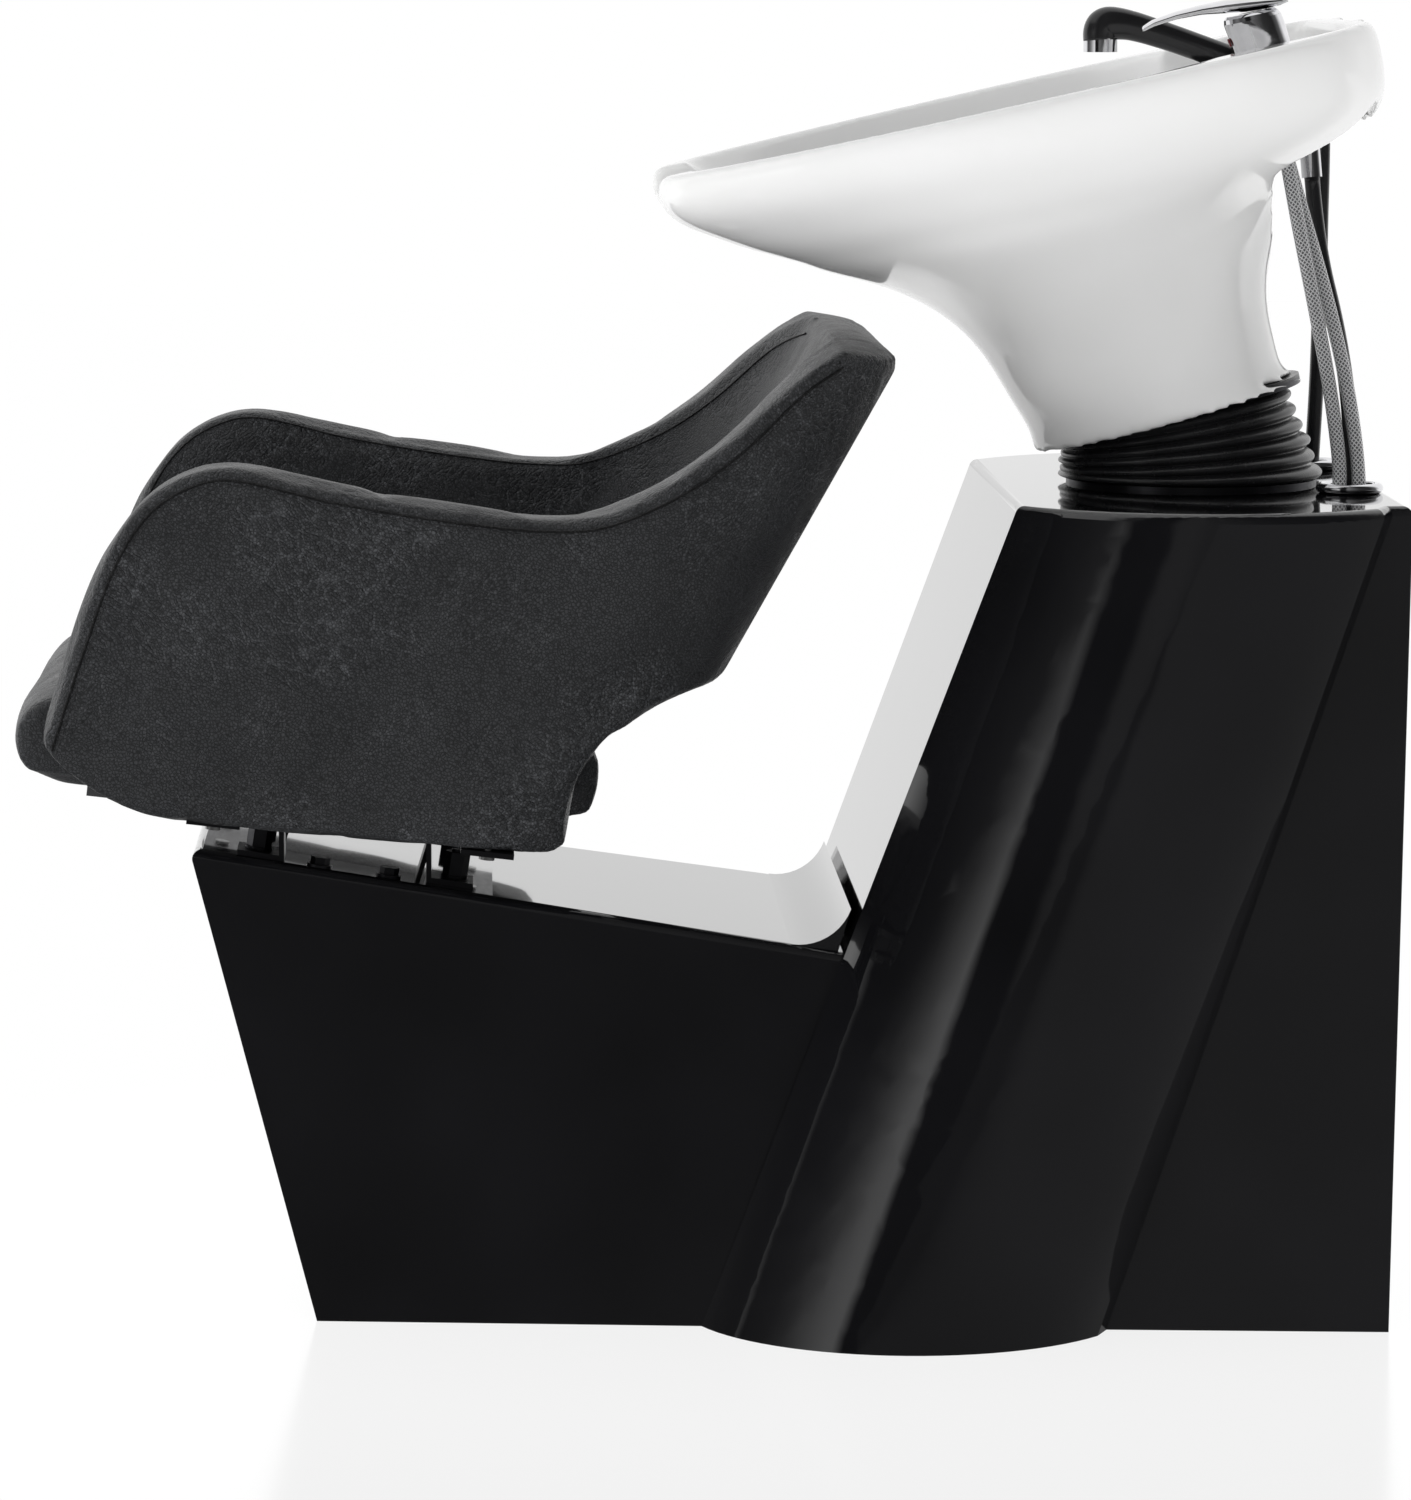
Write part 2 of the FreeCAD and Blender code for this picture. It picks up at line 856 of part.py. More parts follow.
def inlet_nipple(side):
    y = side * inlet_half
    inner = Vec(-tray_depth - inlet_inside, y, inlet_z)
    shoulder = Vec(-tray_depth + tray_sheet + inlet_nut_height, y, inlet_z)
    outer = Vec(-tray_depth + inlet_outside, y, inlet_z)
    body = rod(inlet_radius, inner, shoulder).fuse(rod(inlet_thread_radius, shoulder, outer))
    return on_tower_back(body.cut(rod(inlet_bore, inner, outer)))


def inlet_nuts():
    nuts = []
    for side in (-1, 1):
        y = side * inlet_half
        for start in (-tray_depth - inlet_nut_height, -tray_depth + tray_sheet):
            low = Vec(start, y, inlet_z)
            high = Vec(start + inlet_nut_height, y, inlet_z)
            nuts.append(on_tower_back(hexagon(inlet_nut_flat, low, high).cut(rod(inlet_radius, low, high))))
    return group(nuts)


# Chair


def chair_point(share, y=0.0):
    return Vec(chair_front_x + chair_length * share[0], y, chair_low_z + chair_height * share[1])


def chair_side_prism():
    """The whole side outline of arms and back, as a prism across the chair."""
    half = wrap_half + overrun
    front = [chair_point(share) for share in arm_front_shares]
    top = [chair_point(share) for share in arm_top_shares]
    rear = [chair_point(share) for share in arm_rear_shares]
    toe = [chair_point(share) for share in arm_toe_shares]
    rear.append(Vec(rear[-1].x, 0, seat_z(rear[-1].x)))
    toe[0] = Vec(toe[0].x, 0, seat_z(toe[0].x))
    back_top = chair_point(back_top_share)
    back_foot = chair_point(back_foot_share)
    edges = [
        spline(front),
        spline(top),
        Part.LineSegment(top[-1], back_top).toShape(),
        Part.LineSegment(back_top, back_foot).toShape(),
        Part.LineSegment(back_foot, rear[0]).toShape(),
        spline(rear),
        Part.LineSegment(rear[-1], toe[0]).toShape(),
        spline(toe),
    ]
    outline = Part.Face(Part.Wire(edges))
    outline.translate(Vec(0, -half, 0))
    return outline.extrude(Vec(0, 2 * half, 0))


def wrap_base_x():
    return wrap_rear_top_x - (wrap_rear_top_z - wrap_base_z) * math.tan(math.radians(wrap_lean))


def wrap_lift():
    """The slanting lift that draws the plan of the wrap up along the reclined back."""
    rise = chair_low_z + chair_height + overrun - wrap_base_z
    return Vec(rise * math.tan(math.radians(wrap_lean)), 0, rise)


def wrap_points(shares, half):
    """Plan points from the near end round the back to the far end."""
    near = [Vec(wrap_base_x() - wrap_reach * a, -half * b, wrap_base_z) for a, b in shares]
    far = [Vec(p.x, -p.y, p.z) for p in reversed(near[:-1])]
    return near + far


def wrap_inner_edges(half, reach):
    """Inner plan: two straight arms joined by the rounded back."""
    bend = wrap_points(wrap_inner_shares, half)
    near_end = Vec(wrap_base_x() - reach, bend[0].y, wrap_base_z)
    far_end = Vec(wrap_base_x() - reach, bend[-1].y, wrap_base_z)
    edges = [
        Part.LineSegment(near_end, bend[0]).toShape(),
        spline(bend),
        Part.LineSegment(bend[-1], far_end).toShape(),
    ]
    return edges, near_end, far_end


def chair_wrap():
    outer = wrap_points(wrap_outer_shares, wrap_half)
    inner, near_end, far_end = wrap_inner_edges(wrap_inner_half, wrap_reach)
    edges = [
        spline(outer),
        Part.LineSegment(outer[-1], far_end).toShape(),
        *inner,
        Part.LineSegment(near_end, outer[0]).toShape(),
    ]
    plan = Part.Face(Part.Wire(Part.__sortEdges__(edges)))
    wrap = plan.extrude(wrap_lift()).common(chair_side_prism()).removeSplitter()
    return wrap.cut(group([seat_hole(x, y) for x, y in seat_screw_places()]))


def seat_space(gap):
    """The room between the arms, kept a gap clear of them."""
    edges, near_end, far_end = wrap_inner_edges(wrap_inner_half - gap, 2 * wrap_reach)
    edges.append(Part.LineSegment(far_end, near_end).toShape())
    plan = Part.Face(Part.Wire(Part.__sortEdges__(edges)))
    return plan.extrude(wrap_lift())


def seat_section(y, fullness):
    """One side outline of the seat pad: flat below, crowned above, round at both ends."""
    draw = seat_pad_draw * (1 - fullness)
    crown = seat_pad_crown * fullness
    base = board_thick / math.cos(math.radians(seat_pitch))
    front_x = seat_front_x + seat_pad_bulge + draw
    rear_x = seat_rear_x - seat_pad_bulge - draw
    low_front = Vec(front_x, y, seat_z(front_x) + base)
    low_rear = Vec(rear_x, y, seat_z(rear_x) + base)
    high_front = low_front + Vec(seat_pad_rake, 0, seat_pad_thick - draw)
    high_rear = low_rear + Vec(0, 0, seat_pad_thick - draw)
    front = (low_front + high_front) / 2 - Vec(seat_pad_bulge + seat_pad_rake / 2, 0, 0)
    rear = (low_rear + high_rear) / 2 + Vec(seat_pad_bulge, 0, 0)
    top = (high_front + high_rear) / 2 + Vec(0, 0, crown + seat_pad_bulge)
    edges = [
        Part.LineSegment(low_front, low_rear).toShape(),
        Part.Arc(low_rear, rear, high_rear).toShape(),
        Part.Arc(high_rear, top, high_front).toShape(),
        Part.Arc(high_front, front, low_front).toShape(),
    ]
    return Part.Wire(edges)


def seat_tongue():
    """The room behind the arms and under the back, where the rear of the pad shows."""
    low = (seat_rear_x - seat_tongue_length, -seat_tongue_half, plinth_heel_z)
    high = (seat_rear_x + overrun, seat_tongue_half, chair_point(back_foot_share).z)
    return rounded_plate(low, high, seat_tongue_corner)


def seat_cushion():
    half = wrap_inner_half - soft_gap
    sections = []
    for across_share in seat_across_shares:
        fullness = 1 - across_share**4
        sections.append(seat_section(half * across_share, fullness))
    pad = Part.makeLoft(sections, True, False)
    room = seat_space(soft_gap).fuse(seat_tongue())
    return pad.common(room).cut(chair_wrap()).removeSplitter()


def seat_board():
    length = (board_rear_x - board_front_x) / math.cos(math.radians(seat_pitch))
    board = block((0, -board_half, 0), (length, board_half, board_thick))
    board = under_seat(board, board_front_x, 0)
    holes = [seat_hole(x, y) for x, y in seat_screw_places()]
    return board.cut(group(holes))


def seat_screw_places():
    """Screws that go up through the brackets and straps into the board, and into the arms."""
    places = []
    for side in (-1, 1):
        for x in (bracket_front_x + bracket_foot, bracket_rear_x - bracket_foot):
            places.append((x, side * bracket_half))
        for x in (strap_front_x, strap_rear_x):
            places.append((x, side * (strap_inner + strap_width / 2)))
            places.append((x, side * (strap_outer - strap_width / 4)))
    return places


def seat_hole(x, y):
    return under_seat(rod(seat_screw_radius, Vec(0, 0, -bracket_strap), Vec(0, 0, seat_screw_length)), x, y)


def seat_screws():
    screws = []
    for x, y in seat_screw_places():
        shank = rod(seat_screw_radius, Vec(0, 0, -bracket_strap), Vec(0, 0, seat_screw_length))
        crown = Vec(0, 0, -bracket_strap - seat_screw_head_height)
        head = rod(seat_screw_head_radius, crown, Vec(0, 0, -bracket_strap))
        screws.append(under_seat(shank.fuse(head), x, y))
    return group(screws)


def shell_straps():
    """Flat bars that tie the arms to the seat board from below."""
    straps = []
    for side in (-1, 1):
        for x in (strap_front_x, strap_rear_x):
            low = min(side * strap_inner, side * strap_outer)
            high = max(side * strap_inner, side * strap_outer)
            strap = block((-strap_width / 2, low, -strap_thick), (strap_width / 2, high, 0))
            straps.append(under_seat(strap, x, 0))
    holes = [seat_hole(x, y) for x, y in seat_screw_places()]
    return group(straps).cut(group(holes))


def seat_bracket(side):
    """A bent strap: two feet on the plinth, two legs and a web under the seat board."""
    t = bracket_strap
    web = t / math.cos(math.radians(seat_pitch))
    sole = t / math.cos(math.radians(plinth_slope))
    front_tip = bracket_front_x - bracket_foot
    rear_tip = bracket_rear_x + bracket_foot
    front_in = bracket_front_x + t
    rear_in = bracket_rear_x - t
    outline = [
        (front_tip, plinth_z(front_tip)),
        (front_in, plinth_z(front_in)),
        (front_in, seat_z(front_in) - web),
        (rear_in, seat_z(rear_in) - web),
        (rear_in, plinth_z(rear_in)),
        (rear_tip, plinth_z(rear_tip)),
        (rear_tip, plinth_z(rear_tip) + sole),
        (bracket_rear_x, plinth_z(bracket_rear_x) + sole),
        (bracket_rear_x, seat_z(bracket_rear_x)),
        (bracket_front_x, seat_z(bracket_front_x)),
        (bracket_front_x, plinth_z(bracket_front_x) + sole),
        (front_tip, plinth_z(front_tip) + sole),
    ]
    bracket = profile_prism(outline, bracket_width / 2, side * bracket_half)
    holes = [through_plinth(stud_radius + running_gap, x, y) for x, y in stud_places()]
    holes += [seat_hole(x, y) for x, y in seat_screw_places()]
    return bracket.cut(group(holes))


def stud_stack(make):
    return group([on_plinth(make(), x, y) for x, y in stud_places()])


def stud_rod():
    return rod(stud_radius, Vec(0, 0, -stud_below), Vec(0, 0, stud_above))


def stud_washer():
    low = Vec(0, 0, bracket_strap)
    return pipe(washer_radius, stud_radius, low, low + Vec(0, 0, washer_thick))


def stud_nuts():
    """Nut and lock nut above the foot, and one nut under the mounting plate."""
    nuts = []
    seat = bracket_strap + washer_thick
    below = -base_wall - mount_plate_thick - nut_height
    for start in (seat, seat + nut_height, below):
        low = Vec(0, 0, start)
        high = Vec(0, 0, start + nut_height)
        nuts.append(hexagon(nut_flat, low, high).cut(rod(stud_radius, low, high)))
    return group(nuts)


def seat_mount_plate():
    """The steel plate inside the plinth that spreads the load of the chair."""
    front = bracket_front_x - bracket_foot - mount_plate_margin
    rear = bracket_rear_x + bracket_foot + mount_plate_margin
    length = (rear - front) / math.cos(math.radians(plinth_slope))
    half = mount_plate_half
    plate = block((0, -half, -base_wall - mount_plate_thick), (length, half, -base_wall))
    plate = on_plinth(plate, front, 0)
    holes = [through_plinth(stud_radius + running_gap, x, y) for x, y in stud_places()]
    return plate.cut(group(holes))


def plinth_bolts():
    """Small headed bolts with washers beside the brackets, each with its nut inside."""
    bolts = []
    for x, y in plinth_bolt_places():
        shank = rod(plinth_bolt_radius, Vec(0, 0, -base_wall - plinth_bolt_head), Vec(0, 0, washer_thick))
        seat = Vec(0, 0, washer_thick)
        washer = rod(plinth_washer_radius, ORIGIN, seat)
        head = hexagon(plinth_bolt_flat, seat, seat + Vec(0, 0, plinth_bolt_head))
        nut = hexagon(plinth_bolt_flat, Vec(0, 0, -base_wall - plinth_bolt_head), Vec(0, 0, -base_wall))
        bolts.append(on_plinth(fused([shank, washer, head, nut]), x, y))
    return group(bolts)


# Basin


def basin_ring(section, front, half):
    """One ring of the basin: an oval low down, the plan of the rim higher up."""
    front_height, rear_height, front_share, rear_share, half_share, rim_share = section
    low_u = -front * front_share
    high_u = basin_length * rear_share if front == basin_front else bowl_length * rear_share
    middle = (low_u + high_u) / 2
    reach = (high_u - low_u) / 2
    width = half * half_share
    near = []
    last = len(rim_plan_shares) - 1
    for index, (along_share, across_share) in enumerate(rim_plan_shares):
        angle = math.pi * (1 - index / last)
        oval = Vec(middle + reach * math.cos(angle), -width * math.sin(angle), 0)
        rim = Vec(low_u + 2 * reach * along_share, -width * across_share, 0)
        point = oval * (1 - rim_share) + rim * rim_share
        rear_way = (point.x - low_u) / (2 * reach)
        near.append(point + Vec(0, 0, basin_depth * mix(front_height, rear_height, rear_way)))
    far = [Vec(p.x, -p.y, p.z) for p in reversed(near[1:-1])]
    return closed_spline(near + far)


def upright_edges(shape):
    return [edge for edge in shape.Edges if abs(edge.Vertexes[0].Z - edge.Vertexes[1].Z) > match_gap]


def rounded_plate(low, high, corner):
    """A block with its four upright corners rounded."""
    plate = block(low, high)
    return plate.makeFillet(corner, upright_edges(plate))


def basin_level():
    """The basin in its level frame, before it is tilted."""
    outer_rings = [basin_ring(section, basin_front, basin_half) for section in basin_section_shares]
    outer = Part.makeLoft(outer_rings, True, False)
    bowl_rings = [basin_ring(section, bowl_front, bowl_half) for section in bowl_section_shares]
    bowl = Part.makeLoft(bowl_rings, True, False)
    deck = rounded_plate(
        (deck_front_u - deck_corner, -deck_half, deck_w),
        (deck_rear_u, deck_half, basin_depth + overrun),
        deck_corner,
    )
    pocket = rounded_plate(
        (back_pocket_front_u, -back_pocket_half, back_pocket_low_w),
        (back_pocket_rear_u, back_pocket_half, deck_w - back_pocket_roof),
        back_pocket_roof,
    )
    neck_w = basin_depth + neck_radius - neck_depth
    neck_front = Vec(-basin_front - overrun, 0, neck_w)
    neck = rod(neck_radius, neck_front, Vec(neck_reach - basin_front, 0, neck_w))
    recess = foot_plate(carrier_margin - skirt_gap, -deck_corner, 0.0)
    cavity_low = oval_wire(foot_cavity_half_u, foot_cavity_half, -overrun)
    roof_half_u = foot_cavity_half_u - foot_cavity_taper
    cavity_high = oval_wire(roof_half_u, foot_cavity_half - foot_cavity_taper, foot_cavity_top_w)
    cavity = Part.makeLoft([cavity_low, cavity_high], True, True)
    waste = rod(waste_hole_radius, Vec(waste_u, 0, 0), Vec(waste_u, 0, basin_depth))
    tap_top = Vec(tap_u, -tap_side, deck_w + overrun)
    tap = rod(tap_hole_radius, tap_top - Vec(0, 0, 2 * back_pocket_roof), tap_top)
    shower = rod(holder_hole_radius, holder_point(-2 * holder_below), holder_point(2 * holder_below))
    body = outer.cut(pocket).cut(bowl).cut(deck).cut(neck).cut(recess).cut(cavity)
    holes = [waste, tap, shower] + [carrier_bolt_hole(u, y) for u, y in carrier_bolt_places()]
    return body.cut(group(holes)).removeSplitter()


def oval_wire(half_u, half, w):
    ellipse = Part.Ellipse(Vec(foot_middle_u, 0, w), max(half_u, half), min(half_u, half))
    if half_u < half:
        ellipse.XAxis = Y_AXIS
    return Part.Wire(ellipse.toShape())


def foot_plate(margin, low_w, high_w):
    """An oval plate that follows the foot of the basin, a margin inside it."""
    half_u = foot_rear_u - foot_middle_u - margin
    ellipse = Part.Ellipse(Vec(foot_middle_u, 0, low_w), half_u, basin_half * foot_half_share - margin)
    return Part.Face(Part.Wire(ellipse.toShape())).extrude(Vec(0, 0, high_w - low_w))


def carrier_bolt_places():
    places = []
    for u in (foot_middle_u - carrier_bolt_u, foot_middle_u + carrier_bolt_u):
        for y in (-carrier_bolt_half, carrier_bolt_half):
            places.append((u, y))
    return places


def carrier_bolt_hole(u, y):
    low = -gasket_thick - carrier_thick - overrun
    return rod(carrier_bolt_radius, Vec(u, y, low), Vec(u, y, carrier_bolt_depth))


def foot_gasket():
    ring = foot_plate(carrier_margin, -gasket_thick, 0.0)
    opening = Part.Face(oval_wire(foot_cavity_half_u, foot_cavity_half, -gasket_thick))
    cavity = opening.extrude(Vec(0, 0, gasket_thick))
    holes = [carrier_bolt_hole(u, y) for u, y in carrier_bolt_places()]
    return tilted(ring.cut(cavity).cut(group(holes)))


def basin_carrier():
    """The steel plate under the foot, with the knuckle that turns on the hinge pin."""
    top = -gasket_thick
    low = top - carrier_thick
    plate = foot_plate(carrier_margin, low, top)
    hole_low = Vec(waste_u, 0, low - overrun)
    plate = plate.cut(rod(carrier_hole_radius, hole_low, Vec(waste_u, 0, top + overrun)))
    plate = plate.cut(group([carrier_bolt_hole(u, y) for u, y in carrier_bolt_places()]))
    knuckle = rod(hinge_knuckle_radius, hinge_point(-hinge_knuckle_half), hinge_point(hinge_knuckle_half))
    web = block(
        (hinge_u - hinge_knuckle_radius, -hinge_knuckle_half, hinge_w),
        (hinge_u + hinge_knuckle_radius, hinge_knuckle_half, low),
    )
    bore_radius = hinge_pin_radius + hinge_bush_wall + running_gap
    bore = rod(bore_radius, hinge_point(-hinge_pin_half), hinge_point(hinge_pin_half))
    return tilted(fused([plate, web, knuckle]).cut(bore))


def carrier_bolts():
    bolts = []
    low = -gasket_thick - carrier_thick
    for u, y in carrier_bolt_places():
        shank = rod(carrier_bolt_radius, Vec(u, y, low), Vec(u, y, carrier_bolt_depth))
        head = hexagon(mount_bolt_flat, Vec(u, y, low - mount_bolt_head), Vec(u, y, low))
        bolts.append(tilted(shank.fuse(head)))
    return group(bolts)


def hinge_point(y):
    return Vec(hinge_u, y, hinge_w)


def hinge_bushes():
    """Two lined bushes between the pin and the knuckle."""
    outer = hinge_pin_radius + hinge_bush_wall
    bushes = []
    bore = hinge_pin_radius + running_gap
    for low, high in ((-hinge_knuckle_half, 0.0), (0.0, hinge_knuckle_half)):
        bushes.append(tilted(pipe(outer, bore, hinge_point(low), hinge_point(high))))
    return group(bushes)


def hinge_pin():
    pin = rod(hinge_pin_radius, hinge_point(-hinge_pin_half), hinge_point(hinge_pin_half))
    return tilted(pin)


def pin_clips():
    """Spring clips that keep the pin between the ears."""
    clips = []
    seat = hinge_ear_half + hinge_ear_thick
    for side in (-1, 1):
        near = hinge_point(side * seat)
        far = hinge_point(side * (seat + pin_clip_thick))
        clips.append(tilted(pipe(pin_clip_radius, hinge_pin_radius, near, far)))
    return group(clips)


def tilt_bracket():
    """The fixed half of the tilting mount: a base plate on the tower with two ears."""
    pivot = tilted_point(hinge_u, 0, hinge_w)
    low = tower_top_z
    plate = block(
        (mount_base_front_x, -mount_base_half, low),
        (mount_base_rear_x, mount_base_half, low + mount_base_thick),
    )
    holes = [through_top(mount_bolt_radius + running_gap, x, y) for x, y in mount_bolt_places()]
    holes.append(through_top(waste_port_radius, waste_axis_x(), 0))
    pieces = [plate.cut(group(holes))]
    for side in (-1, 1):
        start = side * hinge_ear_half
        end = side * (hinge_ear_half + hinge_ear_thick)
        ear_low = min(start, end)
        ear_high = max(start, end)
        eye = rod(hinge_ear_radius, Vec(pivot.x, ear_low, pivot.z), Vec(pivot.x, ear_high, pivot.z))
        post = block(
            (pivot.x - hinge_ear_radius, ear_low, low),
            (pivot.x + hinge_ear_radius, ear_high, pivot.z),
        )
        pieces += [eye, post]
    reach = Vec(0, hinge_pin_half, 0)
    bore = rod(hinge_pin_radius, pivot - reach, pivot + reach)
    return fused(pieces).cut(bore)


def mount_bolts():
    bolts = []
    for x, y in mount_bolt_places():
        height = Vec(0, 0, mount_bolt_head)
        seat = Vec(x, y, tower_top_z + mount_base_thick)
        roof = Vec(x, y, tower_top_z - base_wall)
        shank = rod(mount_bolt_radius, roof - height, seat)
        head = hexagon(mount_bolt_flat, seat, seat + height)
        nut = hexagon(mount_bolt_flat, roof - height, roof)
        bolts.append(fused([shank, head, nut]))
    return group(bolts)


# Bellows


def bellows_levels():
    """Shares of the height and the radius inside each fold, four circles to a rib."""
    levels = []
    for rib in range(bellows_ribs):
        for part_share, depth_share in bellows_fold_shares:
            levels.append(((rib + part_share) / bellows_ribs, depth_share))
    levels.append((1.0, 1.0))
    return levels


def bellows_circle(level, radius, low, high, high_tilt):
    """One circle of the fan, between the level tower and the tilted foot."""
    turn = math.radians(high_tilt * level)
    middle = low + (high - low) * level
    normal = Vec(-math.sin(turn), 0, math.cos(turn))
    circle = Part.Circle(middle, normal, radius)
    circle.XAxis = Vec(math.cos(turn), 0, math.sin(turn))
    return Part.Wire(circle.toShape())


def bellows():
    low = Vec(bellows_x, 0, tower_top_z + bellows_ring_thick)
    high = tilted_point(bellows_top_u, 0, -gasket_thick - carrier_thick - soft_gap)
    walls = []
    for wall in (0.0, bellows_wall):
        rings = []
        for level, depth_share in bellows_levels():
            radius = mix(bellows_radius, bellows_top_radius, level) - bellows_groove * depth_share - wall
            rings.append(bellows_circle(level, radius, low, high, basin_tilt))
        walls.append(Part.makeLoft(rings, True, True))
    return walls[0].cut(walls[1])


def bellows_ring():
    """The flat ring that clamps the foot of the bellows to the tower."""
    low = Vec(bellows_x, 0, tower_top_z)
    high = Vec(bellows_x, 0, tower_top_z + bellows_ring_thick)
    outer = bellows_radius - bellows_groove + bellows_wall
    return pipe(outer, outer - bellows_ring_width, low, high)


# Waste


def waste_flange():
    """The flange in the bowl, with the threaded tail that carries the hose below."""
    top = basin_floor_w + waste_flange_thick + waste_seal_thick
    seat = basin_floor_w + waste_seal_thick
    rim = rod(waste_flange_radius, Vec(waste_u, 0, seat), Vec(waste_u, 0, top))
    tail = rod(waste_tail_radius, Vec(waste_u, 0, waste_tail_low_w), Vec(waste_u, 0, seat))
    bore = rod(waste_tail_radius - waste_tail_wall, Vec(waste_u, 0, waste_tail_low_w), Vec(waste_u, 0, top))
    return tilted(rim.fuse(tail).cut(bore).removeSplitter())


def waste_seal():
    low = Vec(waste_u, 0, basin_floor_w)
    high = Vec(waste_u, 0, basin_floor_w + waste_seal_thick)
    return tilted(pipe(waste_flange_radius, waste_tail_radius, low, high))


def waste_backnut():
    low = Vec(waste_u, 0, foot_cavity_top_w - waste_nut_height)
    high = Vec(waste_u, 0, foot_cavity_top_w)
    return tilted(pipe(waste_nut_radius, waste_tail_radius, low, high))


def hair_strainer():
    """A lift-out cup with a ring of holes in its floor, hung on the flange."""
    top = basin_floor_w + waste_seal_thick + waste_flange_thick
    brim_radius = waste_flange_radius - waste_flange_thick
    brim = rod(brim_radius, Vec(waste_u, 0, top), Vec(waste_u, 0, top + strainer_wall))
    cup = rod(strainer_radius, Vec(waste_u, 0, top - strainer_depth), Vec(waste_u, 0, top + strainer_wall))
    cup_floor = Vec(waste_u, 0, top - strainer_depth + strainer_wall)
    space = rod(strainer_radius - strainer_wall, cup_floor, Vec(waste_u, 0, top + overrun))
    holes = []
    for index in range(strainer_slot_count):
        angle = 2 * math.pi * index / strainer_slot_count
        u = waste_u + strainer_slot_ring * math.cos(angle)
        y = strainer_slot_ring * math.sin(angle)
        holes.append(rod(strainer_slot_radius, Vec(u, y, top - strainer_depth - overrun), Vec(u, y, top)))
    return tilted(brim.fuse(cup).cut(space).cut(group(holes)).removeSplitter())


def waste_axis_x():
    return tilted_point(waste_u, 0, waste_tail_low_w).x


def waste_hose():
    """The flexible pipe from the tail of the waste down to the trap."""
    top = tilted_point(waste_u, 0, waste_tail_low_w)
    high = Vec(top.x, 0, top.z - waste_hose_wall)
    low = Vec(top.x, 0, trap_top_z)
    return pipe(waste_hose_radius, waste_hose_radius - waste_hose_wall, low, high)


def waste_trap():
    """A bottle trap under the hose, with its outlet pipe let into the service tray."""
    x = waste_axis_x()
    top = Vec(x, 0, trap_top_z)
    shoulder_top = Vec(x, 0, trap_top_z - trap_collar_height)
    wall = Vec(0, 0, trap_wall)
    body = rod(trap_radius, Vec(x, 0, trap_low_z), shoulder_top)
    collar = rod(waste_hose_radius, shoulder_top, top)
    space = rod(trap_radius - trap_wall, Vec(x, 0, trap_low_z) + wall, shoulder_top - wall)
    mouth = rod(waste_hose_radius - waste_hose_wall, Vec(x, 0, trap_low_z + trap_radius), top)
    outlet_end = on_tower_back(Part.Vertex(Vec(-tray_depth + outlet_outside, 0, outlet_z))).Point
    outlet_axis = on_tower_back(Part.Vertex(Vec(-tray_depth, 0, outlet_z))).Point - outlet_end
    start = outlet_end + outlet_axis * ((outlet_end.x - x) / outlet_outside)
    shoulder = outlet_end + outlet_axis * (outlet_spigot_length / outlet_outside)
    branch = rod(outlet_radius - running_gap, start, shoulder)
    spigot = rod(outlet_spigot_radius, shoulder, outlet_end)
    branch_bore = rod(outlet_spigot_radius - outlet_wall, start, outlet_end)
    return fused([body, collar, branch, spigot]).cut(space).cut(mouth).cut(branch_bore)


# Mixer tap


def tap_point(share, offset=0.0):
    """A point on the leaning axis of the tap, from the deck to the top of the body."""
    rise = (tap_body_top_w - deck_w) * share + offset
    return Vec(tap_u - rise * math.tan(math.radians(tap_lean)), -tap_side, deck_w + rise)


def tap_circle(share, radius, offset=0.0):
    return Part.Wire(Part.makeCircle(radius, tap_point(share, offset), Z_AXIS))


def tap_body():
    """The leaning body with its flared base, and the threaded shank below the deck."""
    base_share = tap_seal_thick / (tap_body_top_w - deck_w)
    rings = [
        tap_circle(base_share, tap_base_radius),
        tap_circle(tap_waist_share, tap_neck_radius),
        tap_circle(tap_shoulder_share, tap_neck_radius),
        tap_circle(1.0, tap_neck_radius),
    ]
    body = Part.makeLoft(rings, True, False)
    shank_top = Vec(tap_u, -tap_side, deck_w + tap_seal_thick)
    shank = rod(tap_shank_radius, Vec(tap_u, -tap_side, tap_shank_low_w), shank_top)
    well = rod(cartridge_radius + running_gap, tap_point(1.0, -cartridge_depth), tap_point(1.0, overrun))
    body = tilted(body.fuse(shank).cut(well).removeSplitter())
    root = tilted_point(tap_u, -tap_side, tap_shank_low_w + supply_nut_height)
    return body.fuse(rod(outlet_arm_radius, root, hose_end_point(shower_route, ferrule_height)))


def tap_seal():
    low = Vec(tap_u, -tap_side, deck_w)
    high = Vec(tap_u, -tap_side, deck_w + tap_seal_thick)
    return tilted(pipe(tap_base_radius, tap_shank_radius, low, high))


def tap_backnut():
    roof = deck_w - back_pocket_roof
    low = Vec(tap_u, -tap_side, roof - tap_nut_height)
    high = Vec(tap_u, -tap_side, roof)
    return tilted(hexagon(tap_nut_flat, low, high).cut(rod(tap_shank_radius, low, high)))


def tap_cartridge():
    cartridge = rod(cartridge_radius, tap_point(1.0, -cartridge_depth), tap_point(1.0, -cap_rise))
    return tilted(cartridge)


def tap_cap():
    """The turning cap: a low dome on the body, bored for the stem of the lever."""
    rings = [
        tap_circle(1.0, tap_neck_radius, running_gap),
        tap_circle(1.0, cap_rise_radius, cap_rise),
        tap_circle(1.0, cap_top_radius, cap_height),
    ]
    dome = Part.makeLoft(rings, True, True)
    top = tap_point(1.0)
    bore = rod(lever_stem_bore, top + Vec(0, 0, running_gap), top + Vec(0, 0, cap_height + overrun))
    return tilted(dome.cut(bore))


